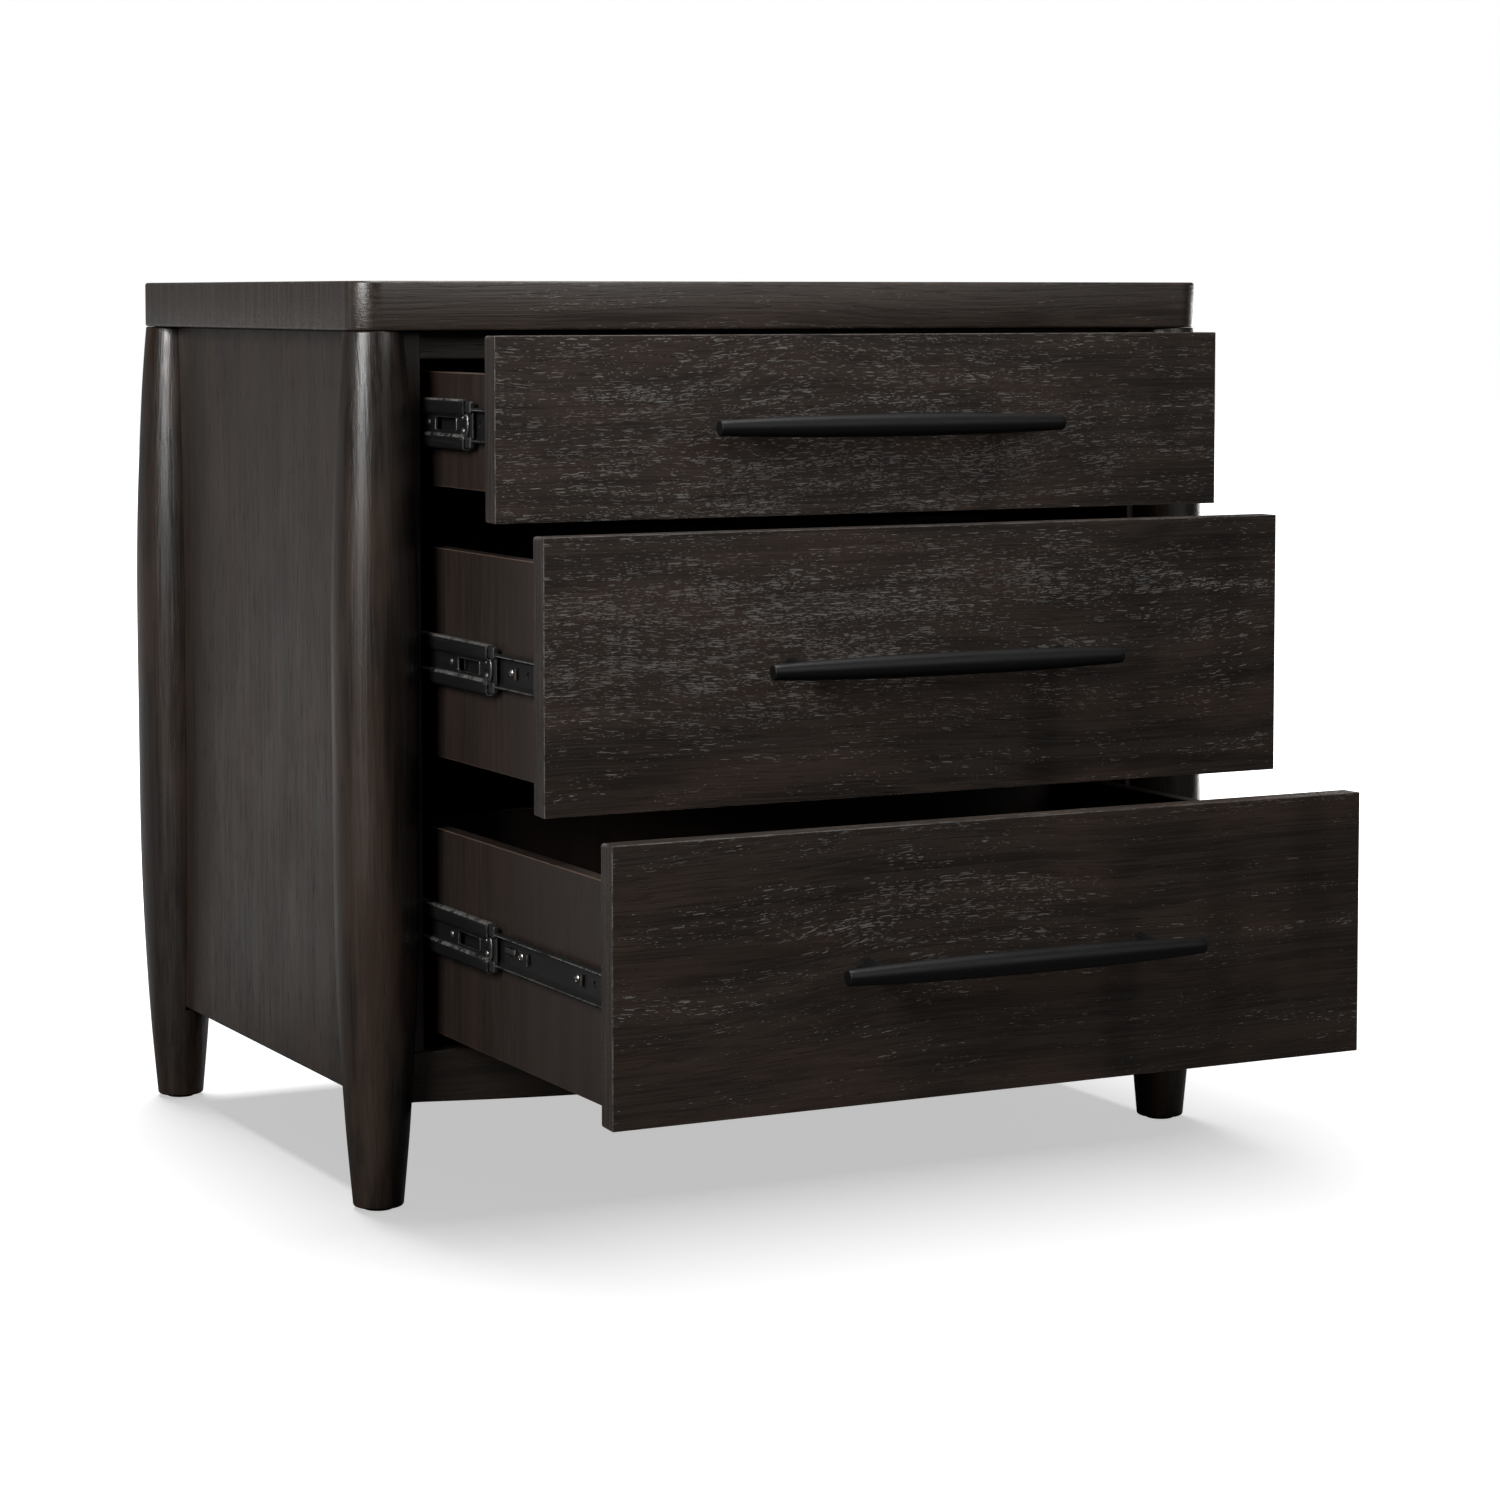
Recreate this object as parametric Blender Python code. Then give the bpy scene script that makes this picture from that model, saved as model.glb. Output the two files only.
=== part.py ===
"""Nightstand with three drawers on ball-bearing slides, at its true size in metres, +Z up.

The origin lies on the floor, under the middle of the object's bounding box with the drawers as they
stand at rest: the top drawer open least and the bottom one most. The front faces -Y. Each moving
piece hangs on an empty that travels along the slides' axis, Y, and is modelled as it lies when shut.
"""
import math

import bmesh
import bpy
from mathutils import Vector

# ---- driving dimensions -------------------------------------------------------------------------
HEIGHT = 0.711            # floor to the upper face of the top
TOP_WIDTH = 0.762
TOP_DEPTH = 0.515
TOP_THICKNESS = 0.0375
TOP_EDGE = 0.0022         # eased edge all round the top
FIT = 0.0003              # gap between pieces that touch

LEG_INSET = 0.0235        # leg axis to the edges of the top, and the radius of the top's corners
LEG_STATIONS = (          # height above the floor and radius of the turned leg
    (0.0045, 0.0196),
    (0.060, 0.0245),
    (0.115, 0.0281),
    (0.170, 0.0308),
    (0.235, 0.0325),
    (0.340, 0.0331),
    (0.450, 0.0334),
    (0.515, 0.0322),
    (0.570, 0.0299),
    (0.625, 0.0270),
    (0.6732, 0.0232),
)
LEG_SIDES = 32
GLIDE_RADIUS = 0.0125
GLIDE_HEIGHT = 0.0022
GLIDE_EDGE = 0.0012       # chamfer round a glide's lower face
CUTTER_REACH = 0.1        # how far the rebate's cutter goes past the leg, inwards

CASE_PROUD_X = 0.0035     # outer face of a side panel, outboard of the leg axes
CASE_PROUD_Y = 0.0015     # front and back face of the case, outboard of the leg axes
CASE_BOTTOM = 0.0823
PANEL = 0.018
BACK_THICKNESS = 0.012
BOTTOM_THICKNESS = 0.012
STILE_DEPTH = 0.050
BATTEN_DEPTH = 0.070
OPENING_HALF = 0.3194     # half the width between the stiles
RAIL_THICKNESS = 0.020
RAIL_TOP = 0.1175
RAIL_END_BOTTOM = 0.0790
RAIL_BOW = 0.011          # how far the lower edge of the bottom rail bows down at its middle
TOP_RAIL_BOTTOM = 0.651
TOP_RAIL_SETBACK = 0.0215

FRONT_HALF = 0.3162       # half the width of a drawer front
FRONT_THICKNESS = 0.020
FRONT_EDGE = 0.0012
BOX_BOARD = 0.0125
BOX_DEPTH = 0.400
BOX_BOTTOM_SHEET = 0.006
BOX_GROOVE_DEPTH = 0.006
BOX_GROOVE_RISE = 0.010   # lower edge of a box side to its groove
BOX_EDGE = 0.0006         # eased edge of the box's boards

SLIDE_SPACE = 0.0127      # between the opening and the box
SLIDE_STEEL = 0.0012
SLIDE_LENGTH = 0.400
SLIDE_SETBACK = 0.0225    # case face to the front end of a cabinet channel
FULL_TRAVEL = 0.385
CABINET_CHANNEL = (0.0454, 0.0002, 0.0085)     # height, and where it starts and ends across the space
CARRIAGE_CHANNEL = (0.0382, 0.0026, 0.0106)
DRAWER_CHANNEL = (0.0265, 0.0055, 0.0124)
CARRIAGE_LENGTH = 0.385
CARRIAGE_SETBACK = 0.030
DRAWER_CHANNEL_LENGTH = 0.396
DRAWER_CHANNEL_GAP = 0.002        # drawer front to its channel
CHANNEL_BEND = 0.0026             # outer radius of the channels' bends
WINDOW = (0.041, 0.0105, 0.0175)  # length, height, and distance from the carriage's front end

HANDLE_LENGTH = 0.300
HANDLE_END_RADIUS = 0.0058
HANDLE_MIDDLE_RADIUS = 0.0088
HANDLE_STANDOFF = 0.035   # bar's axis to the drawer front
POST_RADIUS = 0.0058
HANDLE_CHAMFER = 0.0008   # at the bar's ends
POST_FOOT_RADIUS = 0.0068 # where a post meets the front
POST_FOOT = 0.009         # length of that flare
POST_INSET = 0.034        # post's axis to the bar's end

# name, lower and upper edge of the front, of the box, height of the slides,
# how far the drawer and its slide carriages stand open at rest
DRAWERS = (
    ("top", (0.5325, 0.6705), (0.5545, 0.6420), 0.6034, 0.1347, 0.1054),
    ("middle", (0.3255, 0.5275), (0.3465, 0.5075), 0.4235, 0.2208, 0.1472),
    ("bottom", (0.1205, 0.3205), (0.1310, 0.2910), 0.2156, 0.3348, 0.1457),
)

# ---- derived sizes ------------------------------------------------------------------------------
LEG_X = TOP_WIDTH / 2 - LEG_INSET
LEG_Y = TOP_DEPTH / 2 - LEG_INSET
CASE_X = LEG_X + CASE_PROUD_X
CASE_Y = LEG_Y + CASE_PROUD_Y
INNER_X = CASE_X - PANEL
TOP_UNDERSIDE = HEIGHT - TOP_THICKNESS
UNDER_TOP = TOP_UNDERSIDE - FIT
BOX_HALF = OPENING_HALF - SLIDE_SPACE
LEG_REACH = max(radius for _, radius in LEG_STATIONS)
FRONT_REACH = CASE_Y + DRAWERS[2][4] + HANDLE_STANDOFF + HANDLE_MIDDLE_RADIUS
CASE_CENTRE_Y = (FRONT_REACH - LEG_Y - LEG_REACH) / 2

SIDES = (("left", -1), ("right", 1))
ENDS = (("front", -1), ("rear", 1))


# ---- finishes -----------------------------------------------------------------------------------
def finish(name, color, roughness, metallic=0.0):
    """A plain Principled material."""
    material = bpy.data.materials.new(name)
    material.use_nodes = True
    shader = material.node_tree.nodes["Principled BSDF"]
    shader.inputs["Base Color"].default_value = (*color, 1.0)
    shader.inputs["Roughness"].default_value = roughness
    shader.inputs["Metallic"].default_value = metallic
    material.diffuse_color = (*color, 1.0)
    return material


def finishes():
    """The materials, by a short name."""
    return {
        "case_wood": finish("dark_case_wood", (0.030, 0.024, 0.021), 0.42),
        "leg_wood": finish("dark_turned_wood", (0.032, 0.025, 0.022), 0.38),
        "front_wood": finish("open_pore_front_wood", (0.034, 0.028, 0.025), 0.50),
        "box_wood": finish("brown_box_wood", (0.050, 0.026, 0.018), 0.45),
        "inner_wood": finish("plain_inner_wood", (0.030, 0.022, 0.018), 0.60),
        "slide_steel": finish("black_slide_steel", (0.045, 0.045, 0.048), 0.32, 0.9),
        "handle_iron": finish("matt_black_iron", (0.010, 0.010, 0.010), 0.50, 0.6),
        "glide": finish("black_glide_plastic", (0.015, 0.015, 0.015), 0.60),
    }


# ---- mesh helpers -------------------------------------------------------------------------------
def place(name, mesh_maker, parent, material):
    """One object from a bmesh, linked, parented and finished."""
    mesh = bpy.data.meshes.new(name)
    mesh_maker.normal_update()
    mesh_maker.to_mesh(mesh)
    mesh_maker.free()
    piece = bpy.data.objects.new(name, mesh)
    bpy.context.scene.collection.objects.link(piece)
    piece.parent = parent
    if material is not None:
        mesh.materials.append(material)
    return piece


def block(low, high):
    """An axis-aligned box between two corners."""
    made = bmesh.new()
    bmesh.ops.create_cube(made, size=1.0)
    low, high = Vector(low), Vector(high)
    for vertex in made.verts:
        vertex.co = Vector(low[i] + (vertex.co[i] + 0.5) * (high[i] - low[i]) for i in range(3))
    return made


def extruded(outline, y_low, y_high):
    """A closed outline of (x, z) points carried along Y."""
    made = bmesh.new()
    base = made.faces.new([made.verts.new((x, y_low, z)) for x, z in outline])
    grown = bmesh.ops.extrude_face_region(made, geom=[base])["geom"]
    bmesh.ops.translate(
        made,
        verts=[item for item in grown if isinstance(item, bmesh.types.BMVert)],
        vec=(0.0, y_high - y_low, 0.0),
    )
    bmesh.ops.recalc_face_normals(made, faces=made.faces)
    return made


def turned(profile, sides):
    """A solid of revolution about Z from (height, radius) points, closed by flat ends."""
    made = bmesh.new()
    rings = []
    for height, radius in profile:
        turn = [2 * math.pi * i / sides for i in range(sides)]
        rings.append([made.verts.new((radius * math.cos(t), radius * math.sin(t), height)) for t in turn])
    for lower, upper in zip(rings, rings[1:]):
        for i in range(sides):
            j = (i + 1) % sides
            made.faces.new((lower[i], lower[j], upper[j], upper[i]))
    made.faces.new(rings[0][::-1])
    made.faces.new(rings[-1])
    return made


def smooth_shaded(piece, angle=0.6):
    """Smooth shading with edges kept sharp past an angle."""
    piece.data.shade_smooth()
    piece.data.set_sharp_from_angle(angle=angle)


def eased(piece, width, segments=2):
    """A small rounded edge all over."""
    bevel = piece.modifiers.new("eased_edges", "BEVEL")
    bevel.width = width
    bevel.segments = segments
    bevel.limit_method = "ANGLE"
    bevel.angle_limit = math.radians(40)


def boolean(piece, other, operation):
    """Cuts with, or joins, a helper object that isn't a piece itself."""
    other.hide_render = True
    other.display_type = "WIRE"
    step = piece.modifiers.new(f"{operation.lower()}_{other.name}", "BOOLEAN")
    step.operation = operation
    step.object = other


def board(name, low, high, parent, material, edge=0.0008, segments=1):
    """A flat board with eased edges."""
    piece = place(name, block(low, high), parent, material)
    eased(piece, edge, segments)
    return piece


def empty(name, location, parent=None):
    """A placing empty."""
    made = bpy.data.objects.new(name, None)
    made.location = location
    made.parent = parent
    bpy.context.scene.collection.objects.link(made)
    return made


# ---- case ---------------------------------------------------------------------------------------
def rounded_rectangle(half_x, half_y, radius, steps):
    """Points of a rectangle with round corners, counter-clockwise."""
    points = []
    for corner in range(4):
        start = corner * math.pi / 2
        centre_x = (half_x - radius) * (1 if corner in (0, 3) else -1)
        centre_y = (half_y - radius) * (1 if corner in (0, 1) else -1)
        for step in range(steps + 1):
            turn = start + step * math.pi / 2 / steps
            points.append((centre_x + radius * math.cos(turn), centre_y + radius * math.sin(turn)))
    return points


def top(parent, materials):
    """The thick top, its corners rounded about the leg axes."""
    made = bmesh.new()
    outline = rounded_rectangle(TOP_WIDTH / 2, TOP_DEPTH / 2, LEG_INSET, 8)
    base = made.faces.new([made.verts.new((x, y, TOP_UNDERSIDE)) for x, y in outline])
    grown = bmesh.ops.extrude_face_region(made, geom=[base])["geom"]
    raised = [item for item in grown if isinstance(item, bmesh.types.BMVert)]
    bmesh.ops.translate(made, verts=raised, vec=(0.0, 0.0, TOP_THICKNESS))
    bmesh.ops.recalc_face_normals(made, faces=made.faces)
    piece = place("table_top", made, parent, materials["case_wood"])
    eased(piece, TOP_EDGE, 3)
    smooth_shaded(piece)


def leg_profile():
    """(height, radius) points on a smooth curve through the stations, over a small round at the foot."""
    foot_height, foot_radius = LEG_STATIONS[0]
    lift = GLIDE_HEIGHT + FIT
    round_off = foot_height - lift
    points = [(lift, foot_radius - round_off - 0.0004)]
    points.append((lift + 0.3 * round_off, foot_radius - 0.35 * round_off - 0.0002))
    last = len(LEG_STATIONS) - 1
    for k in range(last):
        before = LEG_STATIONS[max(k - 1, 0)]
        here, there = LEG_STATIONS[k], LEG_STATIONS[k + 1]
        after = LEG_STATIONS[min(k + 2, last)]
        span = there[0] - here[0]
        slope_here = (there[1] - before[1]) / (there[0] - before[0])
        slope_there = (after[1] - here[1]) / (after[0] - here[0])
        for step in range(2):
            t = step / 2
            radius = (
                (2 * t**3 - 3 * t**2 + 1) * here[1]
                + (t**3 - 2 * t**2 + t) * span * slope_here
                + (3 * t**2 - 2 * t**3) * there[1]
                + (t**3 - t**2) * span * slope_there
            )
            points.append((here[0] + t * span, radius))
    points.append(LEG_STATIONS[last])
    return points


def leg(name, side, end, parent, materials):
    """A turned leg, rebated over the height of the case so that it wraps round the case's corner."""
    piece = place(name, turned(leg_profile(), LEG_SIDES), parent, materials["leg_wood"])
    piece.location = (side * LEG_X, end * LEG_Y, 0.0)
    face_x, face_y = side * (CASE_X + FIT), end * (CASE_Y + FIT)
    inner_x, inner_y = face_x - side * CUTTER_REACH, face_y - end * CUTTER_REACH
    low = (min(face_x, inner_x), min(face_y, inner_y), RAIL_END_BOTTOM - FIT)
    high = (max(face_x, inner_x), max(face_y, inner_y), HEIGHT)
    rebate = place(f"{name}_rebate", block(low, high), parent, None)
    boolean(piece, rebate, "DIFFERENCE")
    smooth_shaded(piece)


def glide(name, side, end, parent, materials):
    """A nail-on glide under a leg."""
    profile = (
        (0.0, GLIDE_RADIUS - GLIDE_EDGE),
        (GLIDE_EDGE, GLIDE_RADIUS),
        (GLIDE_HEIGHT, GLIDE_RADIUS),
    )
    piece = place(name, turned(profile, 24), parent, materials["glide"])
    piece.location = (side * LEG_X, end * LEG_Y, 0.0)
    smooth_shaded(piece)


def bottom_rail(parent, materials):
    """The rail under the drawers, its lower edge bowed down in one long arc."""
    half = INNER_X - FIT
    bowed_half = LEG_X - LEG_REACH
    steps = 20
    outline = [(-half, RAIL_END_BOTTOM)]
    for step in range(steps + 1):
        along = -1 + 2 * step / steps
        outline.append((along * bowed_half, RAIL_END_BOTTOM - RAIL_BOW * (1 - along**2)))
    outline += [(half, RAIL_END_BOTTOM), (half, RAIL_TOP), (-half, RAIL_TOP)]
    made = extruded(outline, -CASE_Y, -CASE_Y + RAIL_THICKNESS)
    piece = place("bottom_rail", made, parent, materials["case_wood"])
    eased(piece, 0.0010)


def case(parent, materials):
    """Everything that stands still, apart from the slides."""
    top(parent, materials)
    wood, inner = materials["case_wood"], materials["inner_wood"]
    for end_name, end in ENDS:
        for side_name, side in SIDES:
            leg(f"{end_name}_{side_name}_leg", side, end, parent, materials)
            glide(f"{end_name}_{side_name}_glide", side, end, parent, materials)
    for side_name, side in SIDES:
        xs = sorted((side * INNER_X, side * CASE_X))
        low, high = (xs[0], -CASE_Y, CASE_BOTTOM), (xs[1], CASE_Y, UNDER_TOP)
        board(f"{side_name}_side_panel", low, high, parent, wood)
        xs = sorted((side * OPENING_HALF, side * (INNER_X - FIT)))
        low = (xs[0], -CASE_Y, RAIL_TOP + FIT)
        board(f"{side_name}_stile", low, (xs[1], -CASE_Y + STILE_DEPTH, UNDER_TOP), parent, wood)
        back_face = CASE_Y - BACK_THICKNESS - FIT
        low = (xs[0], back_face - BATTEN_DEPTH, CASE_BOTTOM + BOTTOM_THICKNESS + 2 * FIT)
        board(f"{side_name}_rear_batten", low, (xs[1], back_face, UNDER_TOP), parent, inner)
    half = INNER_X - FIT
    low, high = (-half, CASE_Y - BACK_THICKNESS, CASE_BOTTOM), (half, CASE_Y, UNDER_TOP)
    board("back_panel", low, high, parent, wood)
    low = (-half, -CASE_Y + RAIL_THICKNESS + FIT, CASE_BOTTOM + FIT)
    high = (half, CASE_Y - BACK_THICKNESS - FIT, CASE_BOTTOM + FIT + BOTTOM_THICKNESS)
    board("bottom_panel", low, high, parent, inner)
    half = OPENING_HALF - FIT
    low = (-half, -CASE_Y + TOP_RAIL_SETBACK, TOP_RAIL_BOTTOM)
    board("top_rail", low, (half, low[1] + RAIL_THICKNESS, UNDER_TOP), parent, wood)
    bottom_rail(parent, materials)


# ---- drawers ------------------------------------------------------------------------------------
def box_side(name, side, box, parent, material):
    """A box side with the groove that holds the bottom sheet."""
    low, high = box
    outer, inner = side * BOX_HALF, side * (BOX_HALF - BOX_BOARD)
    groove = inner + side * BOX_GROOVE_DEPTH
    sill = low + BOX_GROOVE_RISE
    outline = (
        (outer, low),
        (inner, low),
        (inner, sill),
        (groove, sill),
        (groove, sill + BOX_BOTTOM_SHEET + 2 * FIT),
        (inner, sill + BOX_BOTTOM_SHEET + 2 * FIT),
        (inner, high),
        (outer, high),
    )
    front = -CASE_Y + FRONT_THICKNESS + FIT
    piece = place(name, extruded(outline, front, front + BOX_DEPTH), parent, material)
    eased(piece, BOX_EDGE, 1)


def handle_profile():
    """(distance from the middle, radius) of the bar: slim blunt ends and a full middle."""
    half = HANDLE_LENGTH / 2
    steps = 12
    points = [(-half, HANDLE_END_RADIUS - HANDLE_CHAMFER)]
    for step in range(steps + 1):
        along = -1 + 2 * step / steps
        along = max(min(along, 1 - HANDLE_CHAMFER / half), -1 + HANDLE_CHAMFER / half)
        swell = (1 - along**2) * (1 + 0.25 * along**2)
        radius = HANDLE_END_RADIUS + (HANDLE_MIDDLE_RADIUS - HANDLE_END_RADIUS) * swell
        points.append((along * half, radius))
    points.append((half, HANDLE_END_RADIUS - HANDLE_CHAMFER))
    return points


def handle(name, front, parent, materials):
    """A bar pull: a bar that swells towards its middle, on two round posts."""
    height = (front[0] + front[1]) / 2
    bar_y = -CASE_Y - HANDLE_STANDOFF
    made = turned(handle_profile(), 20)
    for vertex in made.verts:
        along, across, up = vertex.co.z, vertex.co.x, vertex.co.y
        vertex.co = (along, bar_y + across, height + up)
    piece = place(name, made, parent, materials["handle_iron"])
    for side_name, side in SIDES:
        reach = HANDLE_STANDOFF - FIT
        post_profile = (
            (0.0, POST_RADIUS),
            (reach - POST_FOOT, POST_RADIUS),
            (reach - POST_FOOT / 3, (POST_RADIUS + 2 * POST_FOOT_RADIUS) / 3),
            (reach, POST_FOOT_RADIUS),
        )
        post_mesh = turned(post_profile, 16)
        post_x = side * (HANDLE_LENGTH / 2 - POST_INSET)
        for vertex in post_mesh.verts:
            x, z, y = vertex.co
            vertex.co = (post_x - x, bar_y + y, height + z)
        bmesh.ops.recalc_face_normals(post_mesh, faces=post_mesh.faces)
        post = place(f"{name}_{side_name}_post", post_mesh, parent, None)
        boolean(piece, post, "UNION")
    smooth_shaded(piece)


def drawer(name, front, box, parent, materials):
    """A drawer front, its box and its handle, as they lie when shut."""
    face = -CASE_Y
    low, high = (-FRONT_HALF, face, front[0]), (FRONT_HALF, face + FRONT_THICKNESS, front[1])
    board(f"{name}_drawer_front", low, high, parent, materials["front_wood"], FRONT_EDGE, 2)
    wood = materials["box_wood"]
    for side_name, side in SIDES:
        box_side(f"{name}_drawer_{side_name}_side", side, box, parent, wood)
    start = face + FRONT_THICKNESS + FIT
    half = BOX_HALF - BOX_BOARD - FIT
    sheet_top = box[0] + BOX_GROOVE_RISE + FIT + BOX_BOTTOM_SHEET
    low = (-half, start, sheet_top + FIT)
    board(f"{name}_drawer_box_front", low, (half, start + BOX_BOARD, box[1]), parent, wood, BOX_EDGE)
    low = (-half, start + BOX_DEPTH - BOX_BOARD, sheet_top + FIT)
    board(f"{name}_drawer_back", low, (half, start + BOX_DEPTH, box[1]), parent, wood, BOX_EDGE)
    half += BOX_GROOVE_DEPTH
    low = (-half, start, sheet_top - BOX_BOTTOM_SHEET)
    piece_high = (half, start + BOX_DEPTH, sheet_top)
    place(f"{name}_drawer_bottom", block(low, piece_high), parent, wood)
    handle(f"{name}_drawer_handle", front, parent, materials)


# ---- slides -------------------------------------------------------------------------------------
def channel_outline(size, side, height, web_outboard):
    """A C-shaped section with round bends. The web is at the case's side or at the drawer's side."""
    tall, start, end = size
    bend, steps = CHANNEL_BEND, 3
    depth = end - start
    outer, inner = [], []
    for sign in (1, -1):
        turns = [math.pi / 2 * step / steps for step in range(steps + 1)]
        rows = []
        for turn in turns:
            rows.append((bend * (1 - math.sin(turn)), tall / 2 - bend * (1 - math.cos(turn)), turn))
        arc_outer = [(x, sign * z) for x, z, _ in rows]
        arc_inner = [
            (x + SLIDE_STEEL * math.sin(turn), sign * (z - SLIDE_STEEL * math.cos(turn)))
            for x, z, turn in rows
        ]
        outer.append([(depth, sign * tall / 2)] + arc_outer)
        inner.append([(depth, sign * (tall / 2 - SLIDE_STEEL))] + arc_inner)
    path = outer[0] + outer[1][::-1] + inner[1] + inner[0][::-1]
    placed = []
    for x, z in path:
        across = start + x if web_outboard else end - x
        placed.append((side * (OPENING_HALF - across), height + z))
    return placed


def slide_set(name, height, drawer_empty, carriage_empty, case_empty, materials):
    """Both slides of a drawer: cabinet channels, travelling carriages and drawer channels."""
    steel = materials["slide_steel"]
    for side_name, side in SIDES:
        front = -CASE_Y + SLIDE_SETBACK
        outline = channel_outline(CABINET_CHANNEL, side, height, True)
        made = extruded(outline, front, front + SLIDE_LENGTH)
        place(f"{name}_{side_name}_cabinet_channel", made, case_empty, steel)

        front = -CASE_Y + CARRIAGE_SETBACK
        outline = channel_outline(CARRIAGE_CHANNEL, side, height, True)
        made = extruded(outline, front, front + CARRIAGE_LENGTH)
        carriage = place(f"{name}_{side_name}_slide_carriage", made, carriage_empty, steel)
        length, tall, inset = WINDOW
        web_x = side * (OPENING_HALF - CARRIAGE_CHANNEL[1])
        low = (web_x - 0.004, front + inset, height - tall / 2)
        high = (web_x + 0.004, front + inset + length, height + tall / 2)
        window = place(f"{carriage.name}_window", block(low, high), carriage_empty, None)
        boolean(carriage, window, "DIFFERENCE")

        front = -CASE_Y + FRONT_THICKNESS + DRAWER_CHANNEL_GAP
        outline = channel_outline(DRAWER_CHANNEL, side, height, False)
        made = extruded(outline, front, front + DRAWER_CHANNEL_LENGTH)
        place(f"{name}_{side_name}_drawer_channel", made, drawer_empty, steel)


# ---- the whole ----------------------------------------------------------------------------------
def main():
    """Clears the scene and builds the nightstand."""
    for old in list(bpy.data.objects):
        bpy.data.objects.remove(old)
    materials = finishes()
    case_empty = empty("case_frame", (0.0, CASE_CENTRE_Y, 0.0))
    case(case_empty, materials)
    for name, front, box, slide_height, opened, carriage_opened in DRAWERS:
        drawer_empty = empty(f"{name}_drawer_travel", (0.0, -opened, 0.0), case_empty)
        carriage_empty = empty(f"{name}_carriage_travel", (0.0, -carriage_opened, 0.0), case_empty)
        drawer(name, front, box, drawer_empty, materials)
        slide_set(name, slide_height, drawer_empty, carriage_empty, case_empty, materials)


main()
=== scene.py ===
"""Looks of a dark wood nightstand with three drawers on ball-bearing slides.

Metres, +Z up, the front towards -Y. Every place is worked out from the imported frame. Each new piece
is a surface computed on a grid, or a flat blank that is punched and folded, with its place in its mesh.
"""

import logging
import math
from collections.abc import Callable, Sequence
from dataclasses import dataclass, replace
from enum import Enum
from typing import Any

import bmesh
import bpy
import numpy as np
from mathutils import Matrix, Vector
from mathutils.geometry import delaunay_2d_cdt


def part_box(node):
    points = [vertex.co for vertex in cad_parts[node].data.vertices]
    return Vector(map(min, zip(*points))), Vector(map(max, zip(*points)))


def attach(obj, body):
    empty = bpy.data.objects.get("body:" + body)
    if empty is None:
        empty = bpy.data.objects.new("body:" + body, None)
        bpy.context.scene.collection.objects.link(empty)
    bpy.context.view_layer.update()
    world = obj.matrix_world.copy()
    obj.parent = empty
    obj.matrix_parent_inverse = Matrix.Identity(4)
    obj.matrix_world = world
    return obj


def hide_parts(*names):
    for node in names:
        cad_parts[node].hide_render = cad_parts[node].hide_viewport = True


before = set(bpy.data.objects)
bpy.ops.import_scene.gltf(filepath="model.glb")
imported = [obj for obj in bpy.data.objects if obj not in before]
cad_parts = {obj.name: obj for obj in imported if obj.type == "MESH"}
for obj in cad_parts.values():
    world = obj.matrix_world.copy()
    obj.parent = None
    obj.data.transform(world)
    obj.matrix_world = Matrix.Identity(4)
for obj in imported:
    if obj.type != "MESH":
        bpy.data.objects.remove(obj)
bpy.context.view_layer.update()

LOG = logging.getLogger("nightstand")
SIDES = {"left": -1, "right": 1}
ENDS = {"front": -1, "rear": 1}
DRAWERS = ("top", "middle", "bottom")
SHARP_ANGLE = math.radians(32)
WELD_DISTANCE = 2e-6
ROUNDING_STEPS = 3
# Cells per metre along and across the grain, and how much of a cell a dash may fill.
PORE_LATTICES = ((60.0, 740.0, 0.34), (125.0, 860.0, 0.33), (250.0, 960.0, 0.31))
PORE_WOBBLE = 0.0026
PORE_SLIP = 0.024
Colour = tuple[float, float, float]


# ---- meshes -------------------------------------------------------------------------------------
def box_of(node: str) -> tuple[np.ndarray, np.ndarray]:
    """Lowest and highest corner of a CAD node, as arrays."""
    low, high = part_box(node)
    return np.array(low), np.array(high)


def grid_quads(rows: int, columns: int, wrap: bool) -> np.ndarray:
    """Quads between neighbouring rows of a grid.

    Args:
        rows: number of rows of points.
        columns: points in each row.
        wrap: whether the last column joins the first.

    Returns:
        One row of four point numbers per quad.
    """
    row = np.arange(rows - 1)[:, None] * columns
    column = np.arange(columns if wrap else columns - 1)[None, :]
    beside = (column + 1) % columns
    return np.stack(
        [row + column, row + beside, row + columns + beside, row + columns + column], -1
    ).reshape(-1, 4)


def smooth_through(known: np.ndarray, values: np.ndarray, wanted: np.ndarray) -> np.ndarray:
    """Cubic Hermite curve through given points, with the slope at each taken from its neighbours.

    Args:
        known: increasing positions.
        values: the value at each.
        wanted: positions to work out.

    Returns:
        The value at each wanted position.
    """
    slope = np.gradient(values, known)
    k = np.clip(np.searchsorted(known, wanted) - 1, 0, len(known) - 2)
    span = known[k + 1] - known[k]
    t = (wanted - known[k]) / span
    return (
        (2 * t**3 - 3 * t**2 + 1) * values[k]
        + (t**3 - 2 * t**2 + t) * span * slope[k]
        + (3 * t**2 - 2 * t**3) * values[k + 1]
        + (t**3 - t**2) * span * slope[k + 1]
    )


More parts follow.
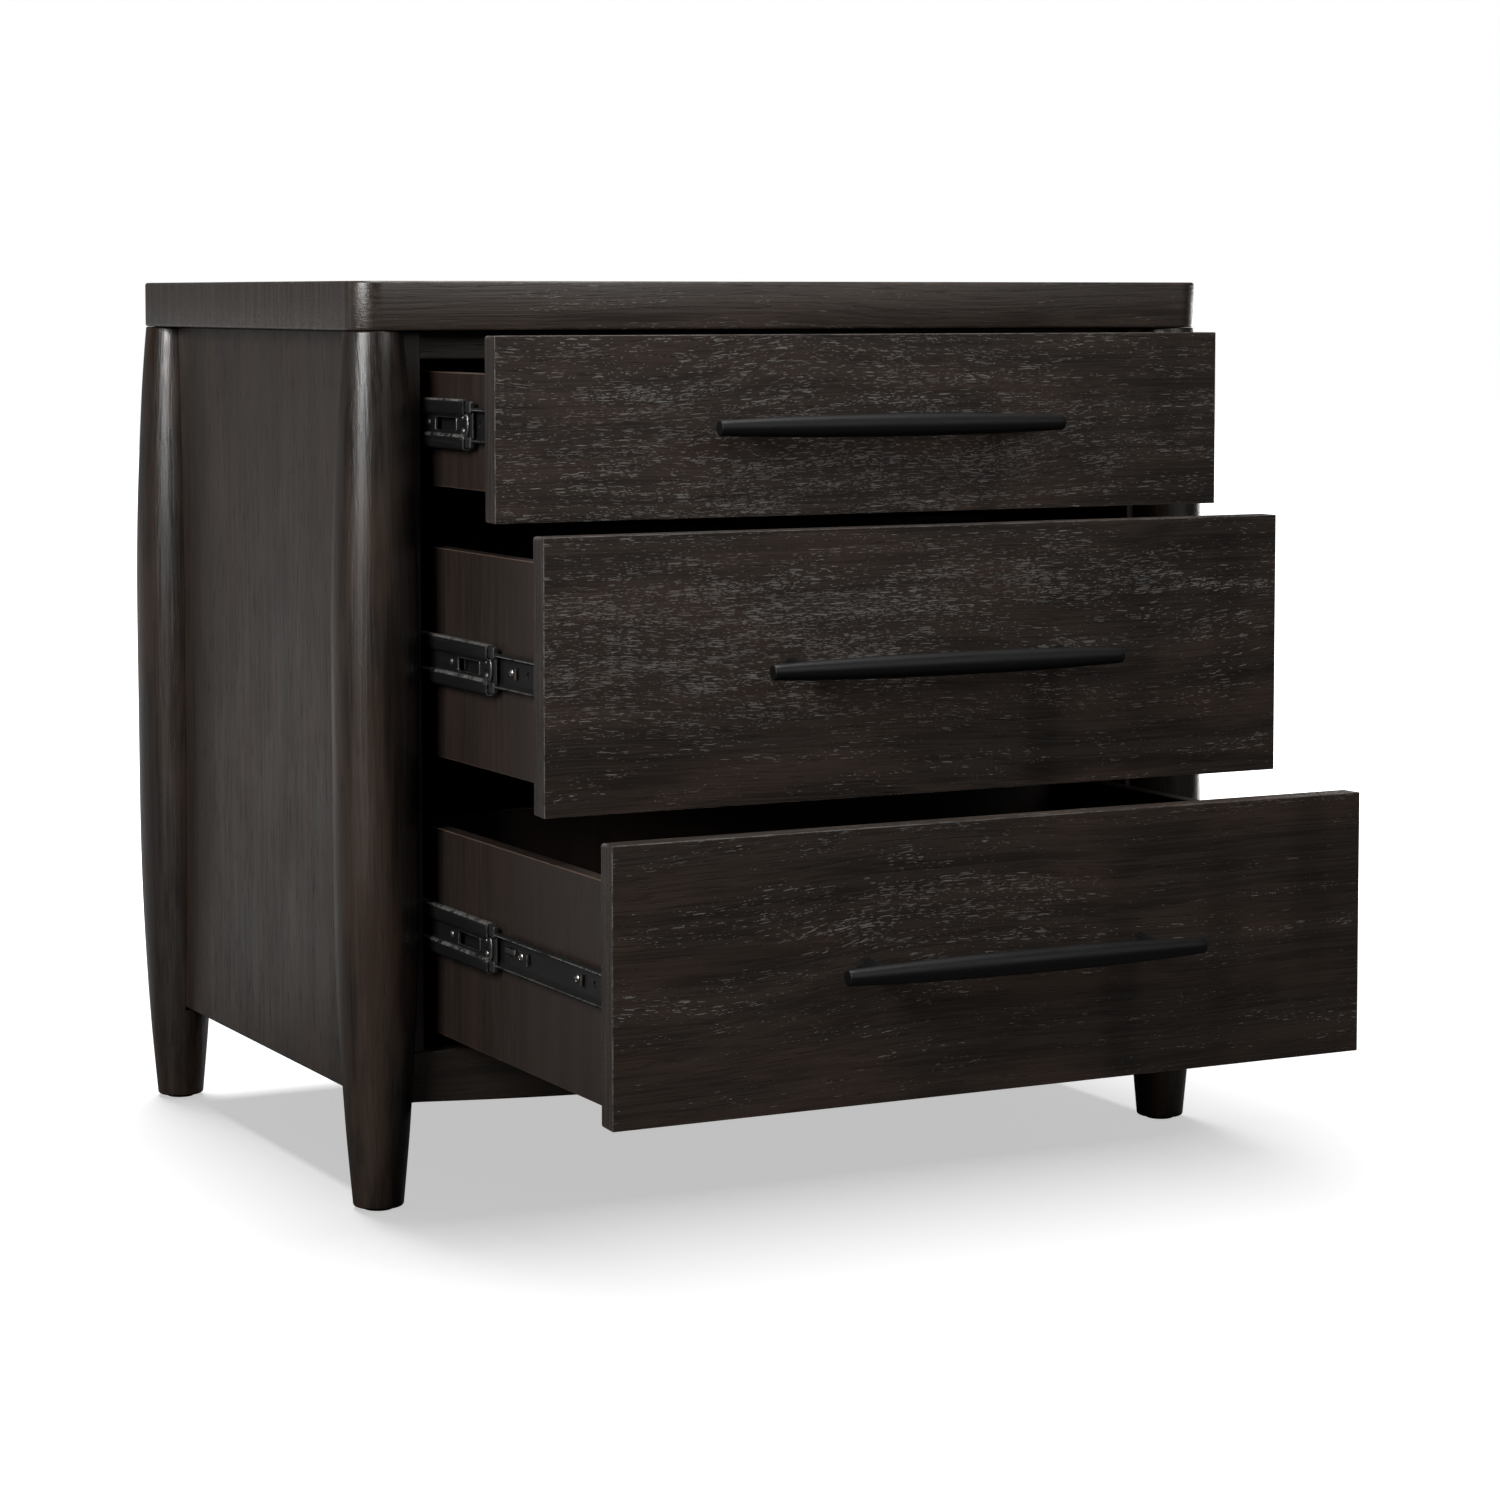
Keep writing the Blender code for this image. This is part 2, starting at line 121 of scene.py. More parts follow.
class Shape:
    """Points, faces and edge wear of one mesh while it is put together."""

    def __init__(self) -> None:
        """Starts empty."""
        self.points: list[np.ndarray] = []
        self.faces: list[list[int]] = []
        self.wear: list[np.ndarray] = []
        self.count = 0

    def add(self, points: np.ndarray, faces: Any, wear: Any = 0.0) -> "Shape":
        """Adds points and the faces between them.

        Args:
            points: one row per point.
            faces: point numbers of each face, counted within these points.
            wear: from 0 to 1, how worn each point is.

        Returns:
            This shape.
        """
        points = np.asarray(points, float).reshape(-1, 3)
        listed = faces.tolist() if isinstance(faces, np.ndarray) else faces
        self.faces += [[int(i) + self.count for i in face] for face in listed]
        self.points.append(points)
        self.wear.append(np.broadcast_to(np.asarray(wear, float), (len(points),)))
        self.count += len(points)
        return self

    def rings(self, rings: np.ndarray, capped: bool = True, wear: Any = 0.0) -> "Shape":
        """Adds a tube through closed rings, with a flat face over each end.

        Args:
            rings: array of rings, points and coordinates.
            capped: whether the ends are closed.
            wear: per point, or one value.

        Returns:
            This shape.
        """
        rows, columns = rings.shape[:2]
        faces = grid_quads(rows, columns, True).tolist()
        if capped:
            last = (rows - 1) * columns
            faces += [list(range(columns))[::-1], list(range(last, last + columns))]
        return self.add(rings.reshape(-1, 3), faces, wear)

    def piece(self, name: str, material: bpy.types.Material, weld: bool = True) -> bpy.types.Object:
        """Makes the mesh object, its doubles merged and its faces turned outwards.

        Args:
            name: the object's name.
            material: its finish.
            weld: whether doubles are merged and normals recalculated.

        Returns:
            The new object at the origin.
        """
        mesh = bpy.data.meshes.new(name)
        mesh.from_pydata(np.concatenate(self.points).tolist(), [], self.faces)
        layer = mesh.attributes.new("wear", "FLOAT", "POINT")
        layer.data.foreach_set("value", np.concatenate(self.wear).astype(np.float32))
        if weld:
            made = bmesh.new()
            made.from_mesh(mesh)
            bmesh.ops.remove_doubles(made, verts=made.verts, dist=WELD_DISTANCE)
            bmesh.ops.recalc_face_normals(made, faces=made.faces)
            made.to_mesh(mesh)
            made.free()
        mesh.materials.append(material)
        mesh.shade_smooth()
        mesh.set_sharp_from_angle(angle=SHARP_ANGLE)
        made_object = bpy.data.objects.new(name, mesh)
        bpy.context.scene.collection.objects.link(made_object)
        return made_object


def applied(piece: bpy.types.Object) -> bpy.types.Object:
    """Makes a piece's modifiers part of its mesh.

    Args:
        piece: an object with live modifiers.

    Returns:
        The same object, without modifiers.
    """
    graph = bpy.context.evaluated_depsgraph_get()
    mesh = bpy.data.meshes.new_from_object(piece.evaluated_get(graph))
    piece.modifiers.clear()
    piece.data = mesh
    mesh.shade_smooth()
    mesh.set_sharp_from_angle(angle=SHARP_ANGLE)
    return piece


def fitted(piece: bpy.types.Object, body: str, slot: str, *replaced: str) -> bpy.types.Object:
    """Hangs a finished piece on its body and hides the CAD nodes that it replaces.

    Args:
        piece: the object, in place.
        body: the CAD body that it moves with.
        slot: the record's material slot; not used.
        replaced: CAD nodes that it replaces.

    Returns:
        The piece.
    """
    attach(piece, body)
    if replaced:
        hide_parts(*replaced)
    LOG.info("%s rides on %s, %d faces", piece.name, body, len(piece.data.polygons))
    return piece


def rounded_box(
    low: Sequence[float],
    high: Sequence[float],
    front_round: float,
    back_round: float,
    ease: float = 0.0008,
    spans: tuple[int, int, int] = (1, 1, 1),
) -> tuple[np.ndarray, np.ndarray, np.ndarray]:
    """A board with rounded edges.

    A point q on the sharp box moves to inner + r * unit(q - inner), where inner is q held inside the
    box shrunk by r, and r goes smoothly from the front's rounding to the back's along Y.

    Args:
        low: lowest corner.
        high: highest corner.
        front_round: edge radius at the low-Y face.
        back_round: edge radius at the high-Y face.
        ease: width of the flat band that keeps the shading flat beside each edge.
        spans: how many steps the flat middle is cut into along X, Y and Z.

    Returns:
        Points, quads and the wear of each point, 1 on the rounded edges.
    """
    low, high = np.array(low, float), np.array(high, float)
    centre, half = (low + high) / 2, (high - low) / 2
    turns = 1 - np.tan(np.linspace(0, math.pi / 4, ROUNDING_STEPS + 1))
    insets = np.unique(np.concatenate([turns * r for r in (front_round, back_round)]))
    insets = np.append(insets, max(front_round, back_round) + ease)
    stations = []
    for axis in range(3):
        inset = insets[insets < half[axis] * 0.95]
        edge = half[axis] - inset
        middle = np.linspace(-edge[-1], edge[-1], spans[axis] + 1)
        stations.append(np.unique(np.round(np.concatenate([-edge, middle, edge]), 9)))
    points, faces, count = [], [], 0
    for axis in range(3):
        first, second = [i for i in range(3) if i != axis]
        u, v = np.meshgrid(stations[first], stations[second], indexing="ij")
        for sign in (-1, 1):
            sheet = np.empty(u.shape + (3,))
            sheet[..., first], sheet[..., second], sheet[..., axis] = u, v, sign * half[axis]
            points.append(sheet.reshape(-1, 3))
            faces.append(grid_quads(*u.shape, False) + count)
            count += u.size
    sharp = np.concatenate(points)
    along = np.clip((sharp[:, 1] / half[1] + 1) / 2, 0, 1)
    radius = front_round + (back_round - front_round) * along**2 * (3 - 2 * along)
    inner = np.clip(sharp, -(half - radius[:, None]), half - radius[:, None])
    away = sharp - inner
    length = np.linalg.norm(away, axis=1, keepdims=True)
    wear = ((np.abs(away) > 1e-8).sum(1) > 1).astype(float)
    return centre + inner + radius[:, None] * away / length, np.concatenate(faces), wear


def rounded_outline(half_x: float, half_y: float, radius: float, steps: int) -> np.ndarray:
    """A rectangle with round corners, counter-clockwise.

    Each corner is a quarter circle about a centre set in from both sides by the radius.

    Args:
        half_x: half the width.
        half_y: half the depth.
        radius: corner radius.
        steps: steps in each quarter circle.

    Returns:
        One (x, y) row per point.
    """
    turn = np.linspace(0, math.pi / 2, steps + 1)
    corners = []
    for corner, (sx, sy) in enumerate(((1, 1), (-1, 1), (-1, -1), (1, -1))):
        angle = turn + corner * math.pi / 2
        x = sx * (half_x - radius) + radius * np.cos(angle)
        y = sy * (half_y - radius) + radius * np.sin(angle)
        corners.append(np.stack([x, y], 1))
    return np.concatenate(corners)


# ---- shader helpers -----------------------------------------------------------------------------
class Net:
    """Adds nodes to one node tree and wires them."""

    def __init__(self, tree: bpy.types.NodeTree) -> None:
        """Works on this tree."""
        self.tree = tree

    def node(self, kind: str, inputs: dict | None = None, **settings: Any) -> bpy.types.Node:
        """Adds one node.

        Args:
            kind: the node's type name without its ShaderNode prefix.
            inputs: socket name or number to a value or to another node's socket.
            settings: the node's own properties.

        Returns:
            The node.
        """
        name = kind if kind.startswith("Node") else f"ShaderNode{kind}"
        made = self.tree.nodes.new(name)
        for key, value in settings.items():
            setattr(made, key, value)
        for key, value in (inputs or {}).items():
            if isinstance(value, bpy.types.NodeSocket):
                self.tree.links.new(value, made.inputs[key])
            else:
                made.inputs[key].default_value = value
        return made

    def math(self, operation: str, *values: Any, clamp: bool = False) -> bpy.types.NodeSocket:
        """The result of a Math node on sockets or numbers."""
        inputs = dict(enumerate(values))
        return self.node("Math", inputs, operation=operation, use_clamp=clamp).outputs[0]

    def blend(self, factor: Any, first: Any, second: Any, mode: str = "MIX") -> bpy.types.NodeSocket:
        """Two colours mixed by a factor."""
        made = self.node("Mix", {0: factor, 6: first, 7: second}, data_type="RGBA", blend_type=mode)
        return made.outputs[2]

    def between(self, value: Any, low: float, high: float) -> bpy.types.NodeSocket:
        """A value taken smoothly from 0 at low to 1 at high."""
        inputs = {0: value, 1: low, 2: high}
        return self.node("MapRange", inputs, interpolation_type="SMOOTHSTEP").outputs[0]

    def noise(
        self, vector: Any, scale: float, detail: float = 2.0, roughness: float = 0.5, dimensions: str = "3D"
    ) -> bpy.types.NodeSocket:
        """The height of a noise texture."""
        inputs = {"Vector": vector, "Scale": scale, "Detail": detail, "Roughness": roughness}
        return self.node("TexNoise", inputs, noise_dimensions=dimensions).outputs[0]

    def stretched(
        self,
        vector: Any,
        along: float,
        across: float,
        detail: float = 2.0,
        roughness: float = 0.5,
        dimensions: str = "3D",
    ) -> bpy.types.NodeSocket:
        """Noise stretched along the vector's X.

        Args:
            vector: the place, in metres.
            along: features per metre along X.
            across: features per metre along Y and Z.
            detail: octaves of the noise.
            roughness: how strong the finer octaves are.
            dimensions: "2D" or "3D".

        Returns:
            The height of the noise, from 0 to 1.
        """
        return self.noise(self.scaled(vector, (along, across, across)), 1.0, detail, roughness, dimensions)

    def total(self, base: float, *terms: tuple[Any, float]) -> bpy.types.NodeSocket:
        """A number plus each value times its own share."""
        summed = base
        for value, share in terms:
            summed = self.math("ADD", summed, self.math("MULTIPLY", value, share))
        return summed

    def swung(self, value: Any, width: Any) -> bpy.types.NodeSocket:
        """A value from 0 to 1 taken to either side of nought, over a width."""
        return self.math("MULTIPLY", self.math("SUBTRACT", value, 0.5), width)

    def scaled(self, vector: Any, factors: Sequence[float]) -> bpy.types.NodeSocket:
        """A vector multiplied along each axis."""
        return self.node("VectorMath", {0: vector, 1: factors}, operation="MULTIPLY").outputs[0]

    def shifted(self, vector: Any, offset: Any) -> bpy.types.NodeSocket:
        """A vector moved by another."""
        return self.node("VectorMath", {0: vector, 1: offset}, operation="ADD").outputs[0]


def group(name: str, inputs: dict, outputs: dict, wire: Callable) -> bpy.types.NodeTree:
    """Builds a shader node group once.

    Args:
        name: the group's name.
        inputs: socket name to (socket type, default).
        outputs: socket name to socket type.
        wire: takes the Net and the input sockets by name, and returns the output sockets by name.

    Returns:
        The group.
    """
    tree = bpy.data.node_groups.new(name, "ShaderNodeTree")
    for label, (kind, default) in inputs.items():
        socket = tree.interface.new_socket(label, in_out="INPUT", socket_type=f"NodeSocket{kind}")
        socket.default_value = default
    for label, kind in outputs.items():
        tree.interface.new_socket(label, in_out="OUTPUT", socket_type=f"NodeSocket{kind}")
    net = Net(tree)
    entry = net.node("NodeGroupInput")
    made = wire(net, {label: entry.outputs[label] for label in inputs})
    net.node("NodeGroupOutput", made)
    return tree


def wire_grain(net: Net, given: dict) -> dict:
    """Wood grain in metres with the grain along the vector's X.

    Streaks are noise stretched along X. The figure is slower noise whose place across the grain is
    itself pushed about by noise, so that it closes into long pointed arches. Strokes are short dark
    marks along the grain, and the mottle is where the stain took warmer.

    Args:
        net: the group's net.
        given: the input sockets.

    Returns:
        The output sockets.
    """
    vector = given["Vector"]
    sway = net.swung(net.stretched(vector, 2.2, 5.0), given["Sway"])
    push = net.node("CombineXYZ", {1: sway, 2: sway}).outputs[0]
    bent = net.shifted(vector, push)
    fine = net.stretched(bent, 9.0, 560.0, 3.0, 0.55)
    coarse = net.stretched(bent, 4.0, 120.0, 3.0, 0.6)
    streak = net.total(0.0, (fine, 0.5), (coarse, 0.5))
    figure = net.stretched(bent, 1.6, 30.0, 2.5, 0.55)
    mottle = net.stretched(bent, 5.0, 26.0, 3.0, 0.55)
    stroke = net.stretched(bent, 42.0, 480.0)
    return {
        "Streak": net.between(streak, 0.40, 0.60),
        "Figure": net.between(figure, 0.36, 0.64),
        "Mottle": net.between(mottle, 0.44, 0.64),
        "Stroke": net.between(stroke, 0.57, 0.70),
        "Bent": bent,
    }


def wire_pores(net: Net, given: dict) -> dict:
    """Filled pores: short dashes along the vector's X, crowded into long drifts.

    Each dash is the near surround of a random point in a stretched lattice over (x, y + z). A dash is
    as long and thick as the lattice is stretched. A cell has one only where its random share is below
    the amount, which slow noise raises in the drifts and lowers between them. The rows slip along
    one another, so that the lattice doesn't line up across the grain.

    Args:
        net: the group's net.
        given: the input sockets.

    Returns:
        The output sockets.
    """
    split = net.node("SeparateXYZ", {0: given["Vector"]})
    across = net.math("ADD", split.outputs[1], split.outputs[2])
    flat = net.node("CombineXYZ", {0: split.outputs[0], 1: across}).outputs[0]
    drift = net.between(net.stretched(flat, 13.0, 85.0, 3.0, 0.6, "2D"), 0.40, 0.62)
    local = net.math("MULTIPLY", given["Amount"], net.total(0.55, (drift, 0.75)))
    lift = net.swung(net.stretched(flat, 26.0, 40.0, 2.0, 0.5, "2D"), PORE_WOBBLE)
    slip = net.swung(net.stretched(flat, 3.0, 200.0, 1.0, 0.5, "2D"), PORE_SLIP)
    flat = net.shifted(flat, net.node("CombineXYZ", {0: slip, 1: lift}).outputs[0])
    dashes = 0.0
    for along, over, reach in PORE_LATTICES:
        inputs = {"Vector": net.scaled(flat, (along, over, 1.0)), "Scale": 1.0}
        cells = net.node("TexVoronoi", inputs, voronoi_dimensions="2D", feature="F1")
        chance = net.node("SeparateColor", {0: cells.outputs["Color"]})
        room = net.between(net.math("SUBTRACT", local, chance.outputs[0]), 0.0, 0.22)
        near = net.math("SUBTRACT", net.math("MULTIPLY", room, reach), cells.outputs["Distance"])
        bright = net.total(0.40, (chance.outputs[1], 0.60))
        dash = net.math("MULTIPLY", net.between(near, -0.01, 0.09), bright)
        dashes = net.math("MAXIMUM", dash, dashes)
    return {"Mask": dashes}


def wire_patch(net: Net, given: dict) -> dict:
    """A soft oval: 1 at its centre and 0 past its rim, with a ragged rim."""
    offset = net.node("VectorMath", {0: given["Vector"], 1: given["Centre"]}, operation="SUBTRACT")
    ratio = net.node("VectorMath", {0: offset.outputs[0], 1: given["Size"]}, operation="DIVIDE")
    length = net.node("VectorMath", {0: ratio.outputs[0]}, operation="LENGTH").outputs["Value"]
    ragged = net.swung(net.stretched(given["Vector"], 9.0, 30.0, 3.0, 0.6), 1.1)
    length = net.math("ADD", length, ragged)
    return {"Mask": net.math("SUBTRACT", 1.0, net.between(length, 0.35, 1.05))}


def wire_wear(net: Net, given: dict) -> dict:
    """Worn edges: the wear value broken up by two noises."""
    coarse = net.noise(given["Vector"], 60.0, 2.0)
    fine = net.noise(given["Vector"], 420.0, 2.0)
    broken = net.total(0.0, (coarse, 0.6), (fine, 0.4))
    limit = net.math("SUBTRACT", broken, net.math("SUBTRACT", given["Amount"], 0.5))
    kept = net.math("SUBTRACT", 1.0, net.between(limit, 0.42, 0.60))
    return {"Mask": net.math("MULTIPLY", given["Wear"], kept)}


def wire_handled(net: Net, given: dict) -> dict:
    """Faint smears and specks that change a clear coat's gloss, from 0 to 1."""
    smear = net.between(net.noise(given["Vector"], 14.0, 4.0, 0.6), 0.35, 0.7)
    speck = net.between(net.noise(given["Vector"], 900.0, 1.0), 0.66, 0.74)
    return {"Smear": smear, "Speck": speck}


class Effects:
    """The shared node groups."""

    def __init__(self) -> None:
        """Builds every group."""
        vector = ("Vector", (0.0, 0.0, 0.0))
        self.grain = group(
            "wood_grain",
            {"Vector": vector, "Sway": ("Float", 0.03)},
            {
                "Streak": "Float",
                "Figure": "Float",
                "Mottle": "Float",
                "Stroke": "Float",
                "Bent": "Vector",
            },
            wire_grain,
        )
        self.pores = group(
            "filled_pores", {"Vector": vector, "Amount": ("Float", 0.5)}, {"Mask": "Float"}, wire_pores
        )
        self.patch = group(
            "ragged_patch",
            {"Vector": vector, "Centre": vector, "Size": ("Vector", (1.0, 1.0, 1.0))},
            {"Mask": "Float"},
            wire_patch,
        )
        self.wear = group(
            "edge_wear",
            {"Vector": vector, "Wear": ("Float", 0.0), "Amount": ("Float", 0.5)},
            {"Mask": "Float"},
            wire_wear,
        )
        self.handled = group(
            "handled_gloss", {"Vector": vector}, {"Smear": "Float", "Speck": "Float"}, wire_handled
        )


class GrainAxis(Enum):
    """The direction that the grain runs in, as the order in which X, Y and Z are read."""

    ALONG_X = (0, 1, 2)
    ALONG_Z = (2, 0, 1)


@dataclass(frozen=True)
class Patch:
    """An oval region of a face, in its own grain coordinates: along, then across, across."""

    centre: tuple[float, float, float]
    size: tuple[float, float, float]
    strength: float


@dataclass(frozen=True)
class WoodFinish:
    """Stained wood under satin lacquer, with streaks, figure, filled pores, pale worn edges and painted
    shadow patches; on the drawer fronts the pale edge is partly a painted highlight.
    """

    name: str
    axis: GrainAxis
    dark: Colour
    light: Colour
    warm: Colour
    pore: Colour = (0.176, 0.170, 0.162)
    edge: Colour = (0.07, 0.06, 0.052)
    offset: tuple[float, float, float] = (0.0, 0.0, 0.0)
    sway: float = 0.03
    pore_amount: float = 0.25
    pore_swing: float = 0.35
    pore_patches: tuple[Patch, ...] = ()
    # Ovals darkened as painted shadows.
    painted_shadow_patches: tuple[Patch, ...] = ()
    wear: float = 0.4
    roughness: float = 0.40
    gloss: float = 0.5
    relief: float = 0.30
    strokes: float = 0.6
    ends: bool = False
    end_dark: Colour = (0.0160, 0.0125, 0.0108)
    end_light: Colour = (0.0360, 0.0288, 0.0252)

    def material(self, effects: Effects) -> bpy.types.Material:
        """Builds the finish.

        Args:
            effects: the shared node groups.

        Returns:
            The material.
        """
        made = bpy.data.materials.new(self.name)
        made.use_nodes = True
        net = Net(made.node_tree)
        shader = made.node_tree.nodes["Principled BSDF"]
        place = net.node("TexCoord").outputs["Object"]
        split = net.node("SeparateXYZ", {0: place})
        order = {i: split.outputs[axis] for i, axis in enumerate(self.axis.value)}
        along = net.shifted(net.node("CombineXYZ", order).outputs[0], self.offset)
        own = net.node("CombineXYZ", order).outputs[0]
        grain = net.node("Group", {"Vector": along, "Sway": self.sway}, node_tree=effects.grain)
        streak, figure, mottle, stroke = (
            grain.outputs[name] for name in ("Streak", "Figure", "Mottle", "Stroke")
        )

        tone = net.total(0.0, (streak, 0.6), (figure, 0.4))
        colour = net.blend(tone, (*self.dark, 1), (*self.light, 1))
        colour = net.blend(net.math("MULTIPLY", mottle, 0.65), colour, (*self.warm, 1))
        colour = net.blend(net.math("MULTIPLY", stroke, self.strokes), colour, (0.3, 0.3, 0.3, 1), "MULTIPLY")
        # Painted shadows: each patch darkens the colour, standing for a shadow that falls on the face.
        for patch in self.painted_shadow_patches:
            mask = self.patch_mask(net, effects, own, patch)
            colour = net.blend(mask, colour, (0.35, 0.35, 0.35, 1), "MULTIPLY")

        amount = net.math("ADD", net.swung(figure, self.pore_swing), self.pore_amount)
        for patch in self.pore_patches:
            amount = net.math("ADD", amount, self.patch_mask(net, effects, own, patch))
        pore_inputs = {"Vector": grain.outputs["Bent"], "Amount": amount}
        mask = net.node("Group", pore_inputs, node_tree=effects.pores).outputs["Mask"]
        if self.ends:
            normal = net.node("SeparateXYZ", {0: net.node("TexCoord").outputs["Normal"]})
            facing = net.between(net.math("ABSOLUTE", normal.outputs[self.axis.value[0]]), 0.3, 0.6)
            mask = net.math("MULTIPLY", mask, net.math("SUBTRACT", 1.0, facing))
            lines = net.between(net.noise(net.scaled(place, (40.0, 520.0, 11.0)), 1.0, 3.0), 0.36, 0.64)
            colour = net.blend(facing, colour, net.blend(lines, (*self.end_dark, 1), (*self.end_light, 1)))
        strength = net.math("MULTIPLY", mask, net.total(0.45, (streak, 0.55)))
        colour = net.blend(strength, colour, (*self.pore, 1))

        wear = net.node("Attribute", attribute_name="wear").outputs["Fac"]
        worn_inputs = {"Vector": place, "Wear": wear, "Amount": self.wear}
        worn = net.node("Group", worn_inputs, node_tree=effects.wear)
        # Pale edge colour on the rounded edges: wear, and on the drawer fronts partly a painted highlight.
        colour = net.blend(worn.outputs["Mask"], colour, (*self.edge, 1))
        made.node_tree.links.new(colour, shader.inputs["Base Color"])

        handled = net.node("Group", {"Vector": place}, node_tree=effects.handled)
        smear = handled.outputs["Smear"]
        rough = net.total(self.roughness - 0.07, (streak, 0.10), (stroke, 0.10), (smear, 0.05), (mask, 0.20))
        made.node_tree.links.new(rough, shader.inputs["Roughness"])
        shader.inputs["Specular IOR Level"].default_value = self.gloss

        height = net.total(0.0, (streak, 0.5), (mask, -0.8), (stroke, -0.4))
        bump = net.node("Bump", {"Height": height, "Strength": self.relief, "Distance": 0.0004})
        made.node_tree.links.new(bump.outputs[0], shader.inputs["Normal"])
        made.diffuse_color = (*self.light, 1)
        return made

    @staticmethod
    def patch_mask(net: Net, effects: Effects, vector: Any, patch: Patch) -> bpy.types.NodeSocket:
        """How strongly a patch covers each point.

        Args:
            net: the material's net.
            effects: the shared node groups.
            vector: the place, in the grain's own order of axes.
            patch: the oval.

        Returns:
            A mask up to the patch's strength.
        """
        inputs = {"Vector": vector, "Centre": patch.centre, "Size": patch.size}
        made = net.node("Group", inputs, node_tree=effects.patch)
        return net.math("MULTIPLY", made.outputs[0], patch.strength)


@dataclass(frozen=True)
class MetalFinish:
    """Blackened or bare metal with worn edges, fine scratches and smears."""

    name: str
    base: Colour
    worn: Colour
    metallic: float
    roughness: float
    worn_roughness: float = 0.3
    wear: float = 0.5
    grit_scale: float = 900.0
    grit: float = 0.05
    scratches: float = 0.15
    gloss: float = 0.5

    def material(self, effects: Effects) -> bpy.types.Material:
        """Builds the finish.

        Args:
            effects: the shared node groups.

        Returns:
            The material.
        """
        made = bpy.data.materials.new(self.name)
        made.use_nodes = True
        net = Net(made.node_tree)
        shader = made.node_tree.nodes["Principled BSDF"]
        place = net.node("TexCoord").outputs["Object"]
        wear = net.node("Attribute", attribute_name="wear").outputs["Fac"]
        worn_inputs = {"Vector": place, "Wear": wear, "Amount": self.wear}
        worn = net.node("Group", worn_inputs, node_tree=effects.wear)
        marks = net.noise(net.scaled(place, (700.0, 14.0, 700.0)), 1.0, 2.0, 0.6)
        scratch = net.math("MULTIPLY", net.between(marks, 0.62, 0.72), self.scratches)
        cover = net.math("MAXIMUM", worn.outputs["Mask"], scratch)
        handled = net.node("Group", {"Vector": place}, node_tree=effects.handled)
        cloud = net.math("MULTIPLY", handled.outputs["Smear"], 0.35)
        colour = net.blend(cloud, (*self.base, 1), (*(0.6 * c for c in self.base), 1))
        colour = net.blend(cover, colour, (*self.worn, 1))
        made.node_tree.links.new(colour, shader.inputs["Base Color"])
        rough = net.total(self.roughness, (handled.outputs["Smear"], 0.08))
        rough = net.node("Mix", {0: cover, 2: rough, 3: self.worn_roughness}).outputs[0]
        made.node_tree.links.new(rough, shader.inputs["Roughness"])
        shader.inputs["Metallic"].default_value = self.metallic
        shader.inputs["Specular IOR Level"].default_value = self.gloss
        grit = net.noise(place, self.grit_scale, 2.0)
        bump = net.node("Bump", {"Height": grit, "Strength": self.grit, "Distance": 0.0003})
        made.node_tree.links.new(bump.outputs[0], shader.inputs["Normal"])
        made.diffuse_color = (*self.base, 1)
        return made


